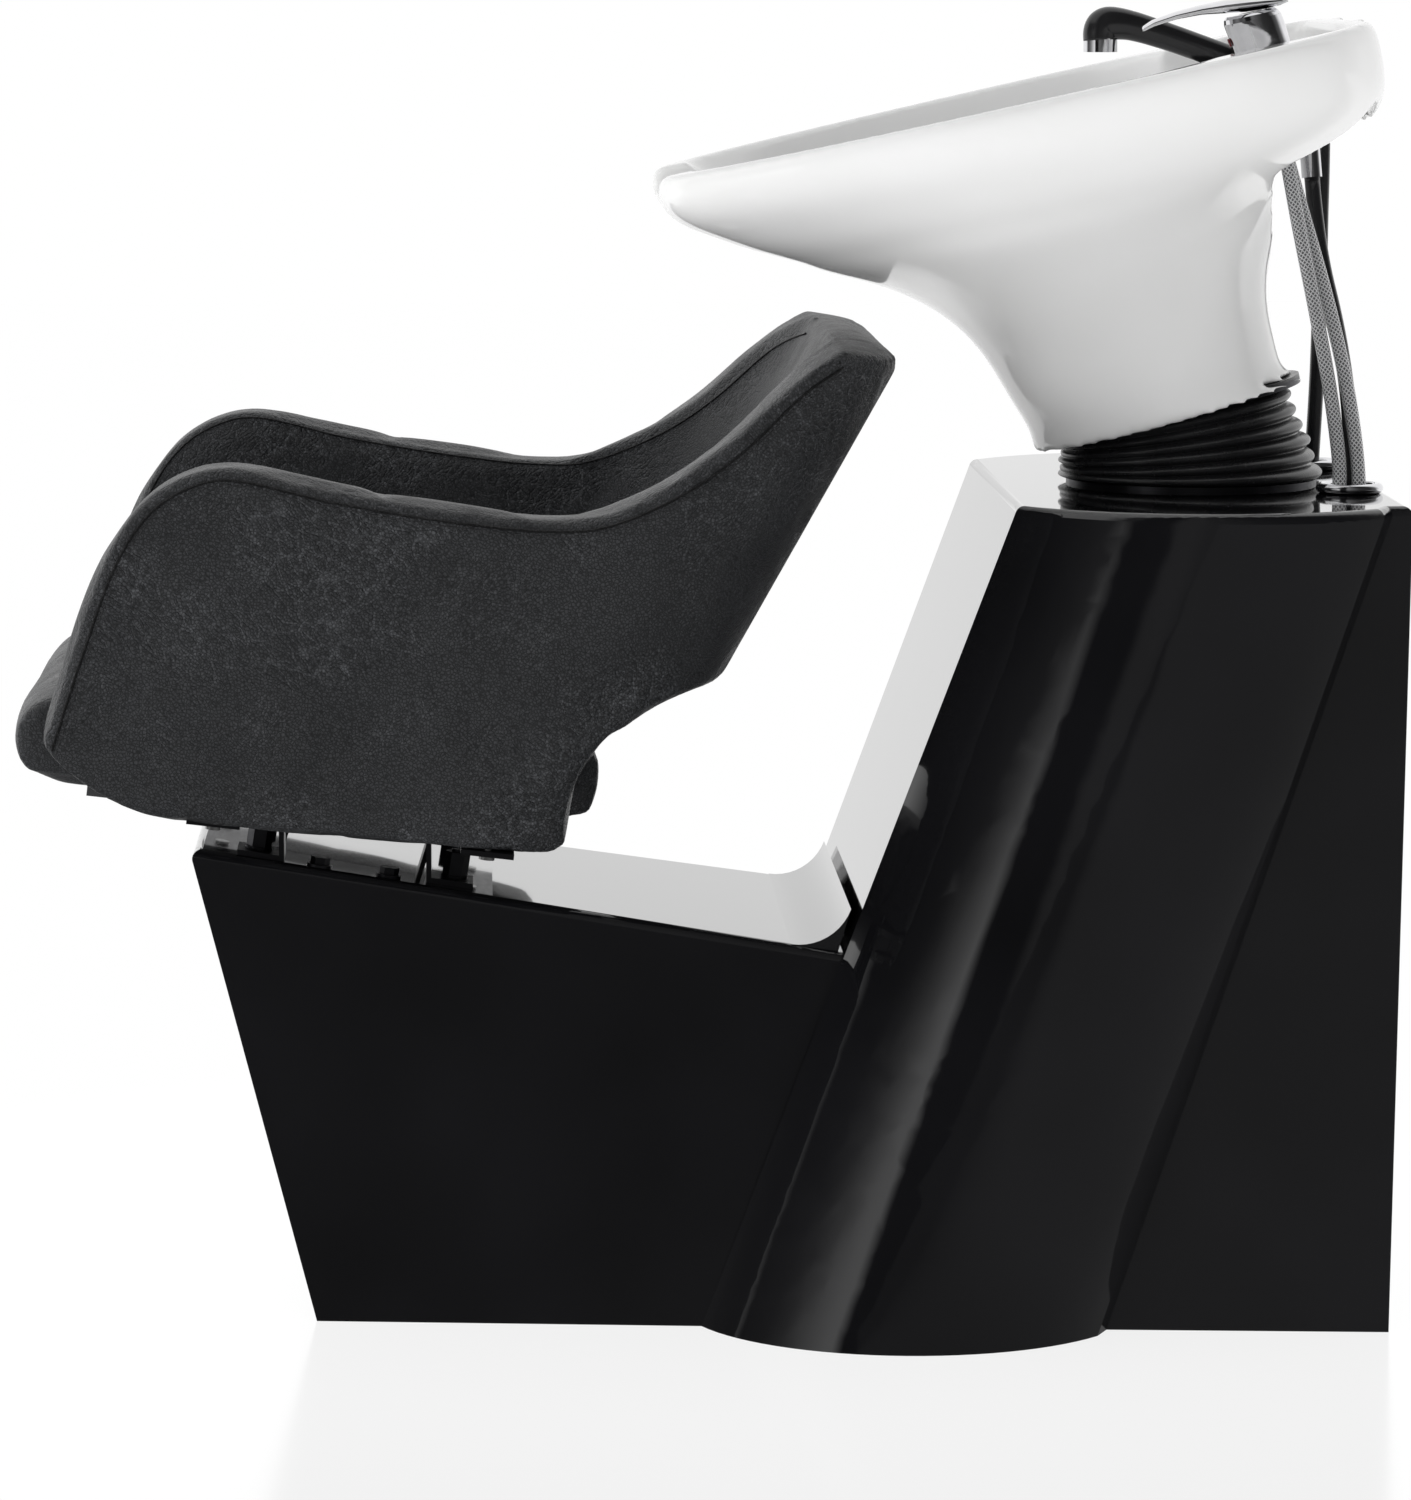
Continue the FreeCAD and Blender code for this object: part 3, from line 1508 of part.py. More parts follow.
def lever_side_outline():
    """Side outline of the lever: a long blade that drops to its rounded heel."""
    length = lever_rear_u - lever_tip_u
    height = lever_top_w - lever_low_w
    top = [Vec(lever_tip_u + length * a, 0, lever_low_w + height * b) for a, b in lever_top_shares]
    under = [Vec(lever_tip_u + length * a, 0, lever_low_w + height * b) for a, b in lever_under_shares]
    edges = [
        spline(top),
        Part.LineSegment(top[-1], under[0]).toShape(),
        spline(under),
    ]
    return Part.Face(Part.Wire(edges))


def tap_lever():
    side = lever_side_outline()
    side.translate(Vec(0, -tap_side - lever_root_half, 0))
    blade = side.extrude(Vec(0, 2 * lever_root_half, 0))
    plan = [
        Vec(lever_tip_u, -tap_side - lever_tip_half, 0),
        Vec(lever_shoulder_u, -tap_side - lever_root_half, 0),
        Vec(lever_rear_u, -tap_side - lever_heel_half, 0),
        Vec(lever_rear_u, -tap_side + lever_heel_half, 0),
        Vec(lever_shoulder_u, -tap_side + lever_root_half, 0),
        Vec(lever_tip_u, -tap_side + lever_tip_half, 0),
    ]
    blade = blade.common(prism(plan, Vec(0, 0, 2 * basin_depth)))
    top = tap_point(1.0) + Vec(0, 0, cap_height)
    stem = rod(lever_stem_radius, top - Vec(0, 0, lever_stem_length), top + Vec(0, 0, lever_stem_length))
    return tilted(blade.fuse(stem))


def tap_index():
    """The small coloured button on the front of the tap."""
    turn = math.radians(tap_lean)
    middle = tap_point(index_share)
    outward = Vec(-math.cos(turn), 0, -math.sin(turn))
    seat = middle + outward * tap_neck_radius
    return tilted(rod(index_radius, seat, seat + outward * index_height))


# Hand shower


def holder_point(along, lift=0.0):
    """A point on the axis of the shower holder; positive is up and out of the deck."""
    turn = math.radians(shower_slope)
    u = shower_deck_u - along * math.cos(turn) + lift * math.sin(turn)
    w = deck_w + along * math.sin(turn) + lift * math.cos(turn)
    return Vec(u, shower_side, w)


def shower_holder():
    sleeve = rod(holder_radius, holder_point(-holder_below), holder_point(holder_above))
    collar_low = Vec(shower_deck_u, shower_side, deck_w)
    collar = rod(holder_nut_radius, collar_low, collar_low + Vec(0, 0, holder_nut_thick / 2))
    bore = rod(holder_bore, holder_point(-holder_below), holder_point(2 * holder_above))
    return tilted(sleeve.fuse(collar).cut(bore).removeSplitter())


def shower_head_middle():
    """Middle of the head, in front of and a little below the end of the grip."""
    end = holder_point(handle_reach)
    grip_end = tilted_point(end.x, end.y, end.z)
    return grip_end - Vec(handle_head_forward, 0, handle_head_drop)


def shower_handle():
    """The straight grip and the head that turns down over the bowl."""
    start = holder_point(holder_above - handle_socket)
    end = holder_point(handle_reach)
    grip = Part.makeCone(handle_root_radius, handle_radius, (end - start).Length, start, end - start)
    middle = shower_head_middle()
    knuckle = tilted(Part.makeSphere(handle_radius, end))
    grip_end = tilted_point(end.x, end.y, end.z)
    bend = rod(handle_radius, grip_end, middle)
    head = Part.makeSphere(handle_head_radius, middle)
    barrel = rod(nozzle_radius, middle - Vec(0, 0, nozzle_seat), middle)
    return fused([tilted(grip), knuckle, bend, head, barrel]).cut(nozzle_room())


def nozzle_room():
    """The round seat that the nozzle takes under the head."""
    top = shower_head_middle() - Vec(0, 0, nozzle_seat)
    return rod(nozzle_radius, top - Vec(0, 0, nozzle_height), top)


def shower_nozzle():
    top = shower_head_middle() - Vec(0, 0, nozzle_seat)
    low = top - Vec(0, 0, nozzle_height)
    return pipe(nozzle_radius, nozzle_radius - nozzle_wall, low, top)


def spray_face():
    low = shower_head_middle() - Vec(0, 0, nozzle_seat + nozzle_height - spray_face_inset)
    return rod(nozzle_radius - nozzle_wall, low, low + Vec(0, 0, spray_face_thick))


def shower_tail():
    """The metal connector between the handle and its hose, which slides in the holder."""
    return tilted(rod(tail_radius, holder_point(-tail_length), holder_point(holder_above - handle_socket)))


# Hoses


def hose_path(points):
    """Straight runs joined by arcs as large as their runs allow, and the smallest radius."""
    points = [Vec(*p) for p in points]
    edges = []
    radii = []
    at = points[0]
    for before, corner, after in zip(points, points[1:], points[2:]):
        into = (corner - before).normalize()
        out = (after - corner).normalize()
        turn = into.getAngle(out)
        cut = bend_share * min((corner - before).Length, (after - corner).Length)
        radius = cut / math.tan(turn / 2)
        radii.append(radius)
        start = corner - into * cut
        end = corner + out * cut
        middle = corner + (out - into).normalize() * (radius / math.cos(turn / 2) - radius)
        edges.append(Part.LineSegment(at, start).toShape())
        edges.append(Part.Arc(start, middle, end).toShape())
        at = end
    edges.append(Part.LineSegment(at, points[-1]).toShape())
    return Part.Wire(edges), radii


def hose(name, points, radius):
    path, radii = hose_path(points)
    first = Vec(*points[0])
    along = Vec(*points[1]) - first
    ring = Part.Wire(Part.makeCircle(radius, first, along))
    tube = path.makePipeShell([ring], True, True)
    ideal = math.pi * radius**2 * path.Length
    ratio = tube.Volume / ideal
    print(f"{name}: length {path.Length:.0f}, least radius {min(radii):.0f}, volume ratio {ratio:.4f}")
    return tube


def hose_ring(side):
    """A chrome grommet: a rolled ring on the tower top with a sleeve through it."""
    low = Vec(ring_x, side * ring_half, tower_top_z)
    rolled = Part.makeTorus(ring_radius, ring_wire, low + Vec(0, 0, ring_wire), Z_AXIS)
    foot = low - Vec(0, 0, ring_sleeve)
    sleeve = pipe(ring_bore, ring_bore - ring_sleeve_wall, foot, low + Vec(0, 0, ring_wire))
    return rolled.fuse(sleeve).removeSplitter()


def hose_end_point(route, height):
    """The far end of the sleeve at the start of a hose."""
    start = Vec(*route[0])
    return start + (start - Vec(*route[1])).normalize() * height


def hose_end(route, radius, height):
    """A crimped sleeve at the start of a hose, pointing back towards the basin."""
    return rod(radius, Vec(*route[0]), hose_end_point(route, height))


def supply_nuts():
    routes = (hot_route, cold_route)
    return group([hose_end(route, supply_nut_radius, supply_nut_height) for route in routes])


def shower_ferrule():
    return hose_end(shower_route, ferrule_radius, ferrule_height)


export("base_shell", base_shell())
export("service_tray", service_tray())
export("tray_screws", tray_screws())
export("hot_inlet", inlet_nipple(-1))
export("cold_inlet", inlet_nipple(1))
export("inlet_nuts", inlet_nuts())
export("chair_wrap", chair_wrap())
export("seat_cushion", seat_cushion())
export("seat_board", seat_board())
export("seat_screws", seat_screws())
export("shell_straps", shell_straps())
export("near_seat_bracket", seat_bracket(-1))
export("far_seat_bracket", seat_bracket(1))
export("bracket_studs", stud_stack(stud_rod))
export("bracket_washers", stud_stack(stud_washer))
export("bracket_nuts", stud_stack(stud_nuts))
export("seat_mount_plate", seat_mount_plate())
export("plinth_bolts", plinth_bolts())
export("basin", tilted(basin_level()))
export("foot_gasket", foot_gasket())
export("basin_carrier", basin_carrier())
export("carrier_bolts", carrier_bolts())
export("hinge_bushes", hinge_bushes())
export("hinge_pin", hinge_pin())
export("pin_clips", pin_clips())
export("tilt_bracket", tilt_bracket())
export("mount_bolts", mount_bolts())
export("bellows", bellows())
export("bellows_ring", bellows_ring())
export("waste_flange", waste_flange())
export("waste_seal", waste_seal())
export("waste_backnut", waste_backnut())
export("hair_strainer", hair_strainer())
export("waste_hose", waste_hose())
export("waste_trap", waste_trap())
export("tap_body", tap_body())
export("tap_seal", tap_seal())
export("tap_backnut", tap_backnut())
export("tap_cartridge", tap_cartridge())
export("tap_cap", tap_cap())
export("tap_lever", tap_lever())
export("tap_index", tap_index())
export("shower_holder", shower_holder())
export("shower_handle", shower_handle())
export("shower_nozzle", shower_nozzle())
export("spray_face", spray_face())
export("shower_tail", shower_tail())
export("hot_supply_hose", hose("hot_supply_hose", hot_route, supply_radius))
export("cold_supply_hose", hose("cold_supply_hose", cold_route, supply_radius))
export("shower_hose", hose("shower_hose", shower_route, shower_hose_radius))
export("supply_nuts", supply_nuts())
export("shower_ferrule", shower_ferrule())
export("near_hose_ring", hose_ring(-1))
export("far_hose_ring", hose_ring(1))
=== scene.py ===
# %% [markdown]
# # Salon backwash unit
# A shampoo chair and a tilting ceramic basin share one glossy black pedestal. The solid model gives every
# piece its size and place, and this lesson gives each piece the surface that it has in a salon: leatherette
# with grain and stitching, deep gelcoat, glaze, chrome, rubber folds and braided hoses.

# %% Load the frame
import bmesh
import bpy
import json
import math
import numpy as np
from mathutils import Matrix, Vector

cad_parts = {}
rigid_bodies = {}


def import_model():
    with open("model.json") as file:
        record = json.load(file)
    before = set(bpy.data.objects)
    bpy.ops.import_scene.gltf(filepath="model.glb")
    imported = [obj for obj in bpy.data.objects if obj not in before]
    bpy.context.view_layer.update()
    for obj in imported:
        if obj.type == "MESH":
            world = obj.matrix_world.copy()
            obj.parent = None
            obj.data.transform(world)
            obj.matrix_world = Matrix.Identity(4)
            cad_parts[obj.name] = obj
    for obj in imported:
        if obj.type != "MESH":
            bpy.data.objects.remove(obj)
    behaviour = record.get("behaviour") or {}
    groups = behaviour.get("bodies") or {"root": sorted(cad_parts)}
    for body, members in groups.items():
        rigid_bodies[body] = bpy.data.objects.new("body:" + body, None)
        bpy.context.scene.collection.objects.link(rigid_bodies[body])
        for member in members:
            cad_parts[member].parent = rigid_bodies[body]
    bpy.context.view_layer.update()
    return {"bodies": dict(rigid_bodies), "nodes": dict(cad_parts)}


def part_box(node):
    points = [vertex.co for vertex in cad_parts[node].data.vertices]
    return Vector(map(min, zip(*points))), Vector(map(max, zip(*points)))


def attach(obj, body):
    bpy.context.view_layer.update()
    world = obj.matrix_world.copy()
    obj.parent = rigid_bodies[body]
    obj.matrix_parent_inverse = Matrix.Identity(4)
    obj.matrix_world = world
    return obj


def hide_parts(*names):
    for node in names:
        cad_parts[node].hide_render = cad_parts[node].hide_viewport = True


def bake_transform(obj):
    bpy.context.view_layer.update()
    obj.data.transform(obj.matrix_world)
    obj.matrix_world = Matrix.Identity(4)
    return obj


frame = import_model()
scene = bpy.context.scene
scene.view_settings.view_transform = "Standard"

# %% [markdown]
# ## Camera
# The photograph was taken from far away with a long lens, a little above the chair and turned a touch to
# the right. A long lens keeps the two arms nearly the same size, which is how its length was found.

# %% Camera
CAMERA_PLACE = Vector((-0.178, -4.945, 1.050))
CAMERA_YAW = math.radians(2.124)
CAMERA_PITCH = math.radians(7.237)
CAMERA_LENS = 151.2


def make_camera():
    data = bpy.data.cameras.new("photo_camera")
    data.lens = CAMERA_LENS
    data.sensor_width = 36.0
    data.clip_end = 60.0
    camera = bpy.data.objects.new("photo_camera", data)
    forward = Vector(
        (
            math.sin(CAMERA_YAW) * math.cos(CAMERA_PITCH),
            math.cos(CAMERA_YAW) * math.cos(CAMERA_PITCH),
            -math.sin(CAMERA_PITCH),
        )
    )
    camera.location = CAMERA_PLACE
    camera.rotation_euler = forward.to_track_quat("-Z", "Y").to_euler()
    scene.collection.objects.link(camera)
    scene.camera = camera
    return camera


print("camera", make_camera().location[:])

# %% [markdown]
# ## Helpers for node trees
# Every finish is a node tree, so a few small helpers add a node with its inputs, join two sockets, put a
# value through a colour ramp and start a material. Helpers that read like a sentence keep the finishes short.


# %% Node helpers
def add(tree, kind, **values):
    """Adds a node; a value whose name is an input sets it, and any other name is a setting of the node."""
    node = tree.nodes.new(kind)
    for name, value in values.items():
        socket = node.inputs.get(name.replace("_", " "))
        if socket is not None:
            socket.default_value = value
        else:
            setattr(node, name, value)
    return node


def wire(tree, source, target):
    tree.links.new(source, target)


def ramp(tree, source, stops, interpolation="LINEAR"):
    """A colour ramp on a grey value; stops are (place, grey or colour)."""
    node = tree.nodes.new("ShaderNodeValToRGB")
    node.color_ramp.interpolation = interpolation
    elements = node.color_ramp.elements
    while len(elements) < len(stops):
        elements.new(0.5)
    for element, (place, colour) in zip(elements, stops):
        element.position = place
        grey = colour if isinstance(colour, tuple) else (colour, colour, colour)
        element.color = (*grey, 1.0)
    wire(tree, source, node.inputs["Fac"])
    return node.outputs["Color"]


def vary(tree, shader, socket, source, stops):
    """Lets an input of the shader follow a grey value through a ramp."""
    wire(tree, ramp(tree, source, stops), shader.inputs[socket])


def new_material(name):
    """An empty material with a Principled shader on its output."""
    material = bpy.data.materials.new(name)
    material.use_nodes = True
    tree = material.node_tree
    tree.nodes.clear()
    shader = tree.nodes.new("ShaderNodeBsdfPrincipled")
    output = tree.nodes.new("ShaderNodeOutputMaterial")
    wire(tree, shader.outputs["BSDF"], output.inputs["Surface"])
    return material, tree, shader


# %% [markdown]
# ## Shared effects
# Two effects come back in many finishes: a slow unevenness that keeps a large face from looking printed,
# and a fine grain that lifts the surface. Each is one node group with named inputs.


# %% Shared node groups
def make_group(name, inputs, outputs):
    group = bpy.data.node_groups.new(name, "ShaderNodeTree")
    for label, value in inputs:
        socket = group.interface.new_socket(label, in_out="INPUT", socket_type="NodeSocketFloat")
        socket.default_value = value
    for label in outputs:
        group.interface.new_socket(label, in_out="OUTPUT", socket_type="NodeSocketFloat")
    start = group.nodes.new("NodeGroupInput")
    end = group.nodes.new("NodeGroupOutput")
    return group, start, end


def make_unevenness():
    """A soft cloud on the piece's own coordinates."""
    group, start, end = make_group("unevenness", [("Scale", 8.0), ("Detail", 3.0)], ["Cloud"])
    coords = group.nodes.new("ShaderNodeTexCoord")
    noise = add(group, "ShaderNodeTexNoise", Roughness=0.55)
    wire(group, coords.outputs["Object"], noise.inputs["Vector"])
    wire(group, start.outputs["Scale"], noise.inputs["Scale"])
    wire(group, start.outputs["Detail"], noise.inputs["Detail"])
    wire(group, noise.outputs["Fac"], end.inputs["Cloud"])
    return group


def make_grain():
    """Small closed cells with soft valleys, as on pressed leatherette and moulded rubber."""
    group, start, end = make_group("grain", [("Scale", 500.0)], ["Height"])
    coords = group.nodes.new("ShaderNodeTexCoord")
    cells = add(group, "ShaderNodeTexVoronoi", feature="DISTANCE_TO_EDGE", Randomness=1.0)
    wire(group, coords.outputs["Object"], cells.inputs["Vector"])
    wire(group, start.outputs["Scale"], cells.inputs["Scale"])
    height = add(group, "ShaderNodeMath", operation="MINIMUM")
    wire(group, cells.outputs["Distance"], height.inputs[0])
    height.inputs[1].default_value = 0.25
    wire(group, height.outputs["Value"], end.inputs["Height"])
    return group


UNEVENNESS = make_unevenness()
GRAIN = make_grain()


def effect(tree, group, **values):
    """Places a shared effect in a material and gives its first output."""
    node = tree.nodes.new("ShaderNodeGroup")
    node.node_tree = group
    for name, value in values.items():
        node.inputs[name].default_value = value
    return node.outputs[0]


def bump(tree, shader, height, strength, distance, under=None):
    """Lifts the surface by a height, on top of another bump if one is given."""
    node = add(tree, "ShaderNodeBump", Strength=strength, Distance=distance)
    wire(tree, height, node.inputs["Height"])
    if under is not None:
        wire(tree, under, node.inputs["Normal"])
    wire(tree, node.outputs["Normal"], shader.inputs["Normal"])
    return node.outputs["Normal"]


print("shared effects", UNEVENNESS.name, GRAIN.name)

# %% [markdown]
# ## Finishes
# The pedestal is moulded with a black gelcoat and polished, so it is almost black with a sharp clear
# reflection and a very faint ripple. The basin is glazed clay. Metal parts are polished or plated.


# %% Gelcoat, glaze and metals
def gelcoat():
    material, tree, shader = new_material("gelcoat_black")
    shader.inputs["Coat Weight"].default_value = 0.6
    shader.inputs["Coat Roughness"].default_value = 0.02
    cloud = effect(tree, UNEVENNESS, Scale=5.0, Detail=2.0)
    vary(tree, shader, "Base Color", cloud, [(0.3, (0.0035, 0.0035, 0.004)), (0.7, (0.006, 0.006, 0.007))])
    smear = effect(tree, UNEVENNESS, Scale=14.0, Detail=5.0)
    vary(tree, shader, "Roughness", smear, [(0.3, 0.035), (0.75, 0.085)])
    ripple = effect(tree, UNEVENNESS, Scale=9.0, Detail=0.0)
    bump(tree, shader, ripple, 0.03, 0.002)
    return material


def glaze():
    material, tree, shader = new_material("glaze_white")
    shader.inputs["Coat Weight"].default_value = 0.5
    shader.inputs["Coat Roughness"].default_value = 0.03
    cloud = effect(tree, UNEVENNESS, Scale=6.0, Detail=2.0)
    vary(tree, shader, "Base Color", cloud, [(0.3, (0.82, 0.82, 0.815)), (0.7, (0.86, 0.86, 0.86))])
    pool = effect(tree, UNEVENNESS, Scale=40.0, Detail=2.0)
    vary(tree, shader, "Roughness", pool, [(0.3, 0.06), (0.7, 0.12)])
    ripple = effect(tree, UNEVENNESS, Scale=12.0, Detail=0.0)
    bump(tree, shader, ripple, 0.04, 0.002)
    return material


def metal(name, colour, low, high, streak):
    """Bare or plated metal: a streaky roughness between two values, and a faint tool texture."""
    material, tree, shader = new_material(name)
    shader.inputs["Metallic"].default_value = 1.0
    cloud = effect(tree, UNEVENNESS, Scale=60.0, Detail=3.0)
    dark = tuple(0.9 * c for c in colour)
    vary(tree, shader, "Base Color", cloud, [(0.3, dark), (0.7, colour)])
    smear = effect(tree, UNEVENNESS, Scale=streak, Detail=4.0)
    vary(tree, shader, "Roughness", smear, [(0.3, low), (0.7, high)])
    ripple = effect(tree, UNEVENNESS, Scale=2 * streak, Detail=2.0)
    bump(tree, shader, ripple, 0.03, 0.0004)
    return material


def moulded(name, colour, low, high, grain_scale, grain_strength):
    """Moulded plastic or rubber: a fine pressed grain and slightly cloudy gloss."""
    material, tree, shader = new_material(name)
    cloud = effect(tree, UNEVENNESS, Scale=18.0, Detail=3.0)
    dark = tuple(0.75 * c for c in colour)
    vary(tree, shader, "Base Color", cloud, [(0.3, dark), (0.7, colour)])
    smear = effect(tree, UNEVENNESS, Scale=45.0, Detail=4.0)
    vary(tree, shader, "Roughness", smear, [(0.3, low), (0.7, high)])
    bump(tree, shader, effect(tree, GRAIN, Scale=grain_scale), grain_strength, 0.0003)
    return material


GELCOAT = gelcoat()
GLAZE = glaze()
CHROME = metal("chrome_polished", (0.78, 0.78, 0.8), 0.05, 0.1, 120.0)
ZINC = metal("zinc_plate", (0.5, 0.5, 0.5), 0.28, 0.42, 200.0)
BLACKED = metal("blacked_steel", (0.06, 0.06, 0.065), 0.3, 0.45, 200.0)
SHEET_STEEL = metal("sheet_steel", (0.42, 0.43, 0.44), 0.3, 0.5, 160.0)
BRASS = metal("brass_turned", (0.7, 0.53, 0.25), 0.2, 0.35, 220.0)
RUBBER = moulded("rubber_black", (0.012, 0.012, 0.013), 0.22, 0.34, 900.0, 0.08)
PLASTIC = moulded("plastic_black", (0.014, 0.014, 0.015), 0.18, 0.28, 1400.0, 0.05)
PIPE_GREY = moulded("pipe_grey", (0.45, 0.45, 0.46), 0.35, 0.5, 900.0, 0.08)
ROSE_GREY = moulded("rose_grey", (0.08, 0.08, 0.085), 0.4, 0.55, 900.0, 0.1)
INDEX_RED = moulded("index_red", (0.16, 0.008, 0.012), 0.15, 0.25, 1400.0, 0.03)
DUST_CLOTH = moulded("dust_cloth", (0.04, 0.041, 0.043), 0.7, 0.9, 1800.0, 0.4)
print("finishes", len(bpy.data.materials))

# %% [markdown]
# ## Leatherette
# The cover is a satin black leatherette. Close up it has a fine pebble grain, and over a hand's width it
# has shallow creases that run two ways in patches and catch the light. So the bump has three sizes, and a
# painted highlight makes the base colour paler along the creases than between them.

# %% Leatherette
CREASE_STRETCH = (1.0, 0.6, 0.34)


def crease_height(tree, coords, scale, push, turn, patch_scale, patch_low, patch_high):
    """Thin creases that lie side by side in patches: borders of long cells, faded in and out by a cloud."""
    bend = add(tree, "ShaderNodeTexNoise", Scale=scale * 0.3, Detail=3.0)
    wire(tree, coords.outputs["Object"], bend.inputs["Vector"])
    pushed = add(tree, "ShaderNodeVectorMath", operation="MULTIPLY_ADD")
    wire(tree, bend.outputs["Color"], pushed.inputs[0])
    pushed.inputs[1].default_value = (push, push, push)
    wire(tree, coords.outputs["Object"], pushed.inputs[2])
    turned = add(tree, "ShaderNodeVectorRotate", rotation_type="Y_AXIS", Angle=turn)
    wire(tree, pushed.outputs["Vector"], turned.inputs["Vector"])
    drawn = add(tree, "ShaderNodeVectorMath", operation="MULTIPLY")
    wire(tree, turned.outputs["Vector"], drawn.inputs[0])
    drawn.inputs[1].default_value = CREASE_STRETCH
    cells = add(tree, "ShaderNodeTexVoronoi", feature="DISTANCE_TO_EDGE", Scale=scale, Randomness=1.0)
    wire(tree, drawn.outputs["Vector"], cells.inputs["Vector"])
    soft = ramp(tree, cells.outputs["Distance"], [(0.0, 0.0), (0.13, 0.75), (0.34, 1.0)], "EASE")
    cloud = effect(tree, UNEVENNESS, Scale=patch_scale, Detail=3.0)
    patches = ramp(tree, cloud, [(patch_low, 0.0), (patch_high, 1.0)])
    shown = add(tree, "ShaderNodeMix", data_type="RGBA")
    shown.inputs["A"].default_value = (1.0, 1.0, 1.0, 1.0)
    wire(tree, patches, shown.inputs["Factor"])
    wire(tree, soft, shown.inputs["B"])
    return shown.outputs["Result"]


def leatherette(name, colour, crease_strength):
    material, tree, shader = new_material(name)
    shader.inputs["Specular IOR Level"].default_value = 0.5
    coords = tree.nodes.new("ShaderNodeTexCoord")
    cloud = effect(tree, UNEVENNESS, Scale=11.0, Detail=5.0)
    dark = tuple(0.75 * c for c in colour)
    pebbles = effect(tree, GRAIN, Scale=400.0)
    rising = crease_height(tree, coords, 180.0, 0.011, 0.75, 9.0, 0.46, 0.6)
    falling = crease_height(tree, coords, 225.0, 0.008, -0.9, 13.0, 0.46, 0.6)
    shade = ramp(tree, cloud, [(0.32, dark), (0.68, colour)])
    # The pebble tint darkens the valleys of the grain; the two crease tints are a painted highlight, paler
    # along the creases than between them.
    grain_tint_and_painted_crease_highlight = (
        (pebbles, [(0.0, 0.35), (0.22, 1.0)]),
        (rising, [(0.1, 1.0), (0.8, 0.58)]),
        (falling, [(0.1, 1.0), (0.8, 0.66)]),
    )
    for height, stops in grain_tint_and_painted_crease_highlight:
        tint = add(tree, "ShaderNodeMix", data_type="RGBA", blend_type="MULTIPLY")
        tint.inputs["Factor"].default_value = 1.0
        wire(tree, shade, tint.inputs["A"])
        wire(tree, ramp(tree, height, stops), tint.inputs["B"])
        shade = tint.outputs["Result"]
    wire(tree, shade, shader.inputs["Base Color"])
    smear = effect(tree, UNEVENNESS, Scale=30.0, Detail=5.0)
    vary(tree, shader, "Roughness", smear, [(0.3, 0.36), (0.7, 0.5)])
    first = bump(tree, shader, rising, crease_strength, 0.0012)
    second = bump(tree, shader, falling, crease_strength, 0.0009, under=first)
    bump(tree, shader, pebbles, 1.0, 0.0012, under=second)
    return material


LEATHER = leatherette("leatherette_black", (0.1, 0.104, 0.112), 0.9)
PIPING = leatherette("leatherette_piping", (0.028, 0.028, 0.03), 0.1)
THREAD = moulded("sewing_thread", (0.03, 0.03, 0.032), 0.5, 0.7, 2500.0, 0.3)
print("leatherette", LEATHER.name)

# %% [markdown]
# ## Rigid pieces
# The solid model comes in as triangles whose corners carry the true direction of the curved surface. A
# polished piece would show any change of those, so the rigid nodes keep their meshes and only take a finish.

# %% Copies of solids, their bodies and finishes
MERGE_DISTANCE = 2e-5


def link(obj):
    scene.collection.objects.link(obj)
    return obj


def made(name, shape):
    """Turns a built shape into an object of the scene."""
    mesh = bpy.data.meshes.new(name)
    shape.to_mesh(mesh)
    shape.free()
    return link(bpy.data.objects.new(name, mesh))


def merged_copy(node, name):
    """A copy of a node's mesh with its loose triangles joined."""
    mesh = frame["nodes"][node].data.copy()
    mesh.name = name
    shape = bmesh.new()
    shape.from_mesh(mesh)
    bmesh.ops.remove_doubles(shape, verts=shape.verts, dist=MERGE_DISTANCE)
    bmesh.ops.dissolve_degenerate(shape, edges=shape.edges, dist=MERGE_DISTANCE / 4)
    shape.to_mesh(mesh)
    shape.free()
    mesh.materials.clear()
    return link(bpy.data.objects.new(name, mesh))


def applied(obj):
    """Bakes an object's modifiers into its mesh."""
    graph = bpy.context.evaluated_depsgraph_get()
    graph.update()
    mesh = bpy.data.meshes.new_from_object(obj.evaluated_get(graph))
    obj.modifiers.clear()
    obj.data = mesh
    return obj


def body_of_node(node):
    """The name of the moving body that carries a node."""
    carrier = frame["nodes"][node].parent
    return next(name for name, body in frame["bodies"].items() if body == carrier)


def dress(obj, material):
    obj.data.materials.clear()
    obj.data.materials.append(material)
    return obj


def take_place(obj, node):
    """Puts a finished piece in the place of its node: on the same body, with the node hidden."""
    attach(obj, body_of_node(node))
    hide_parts(node)


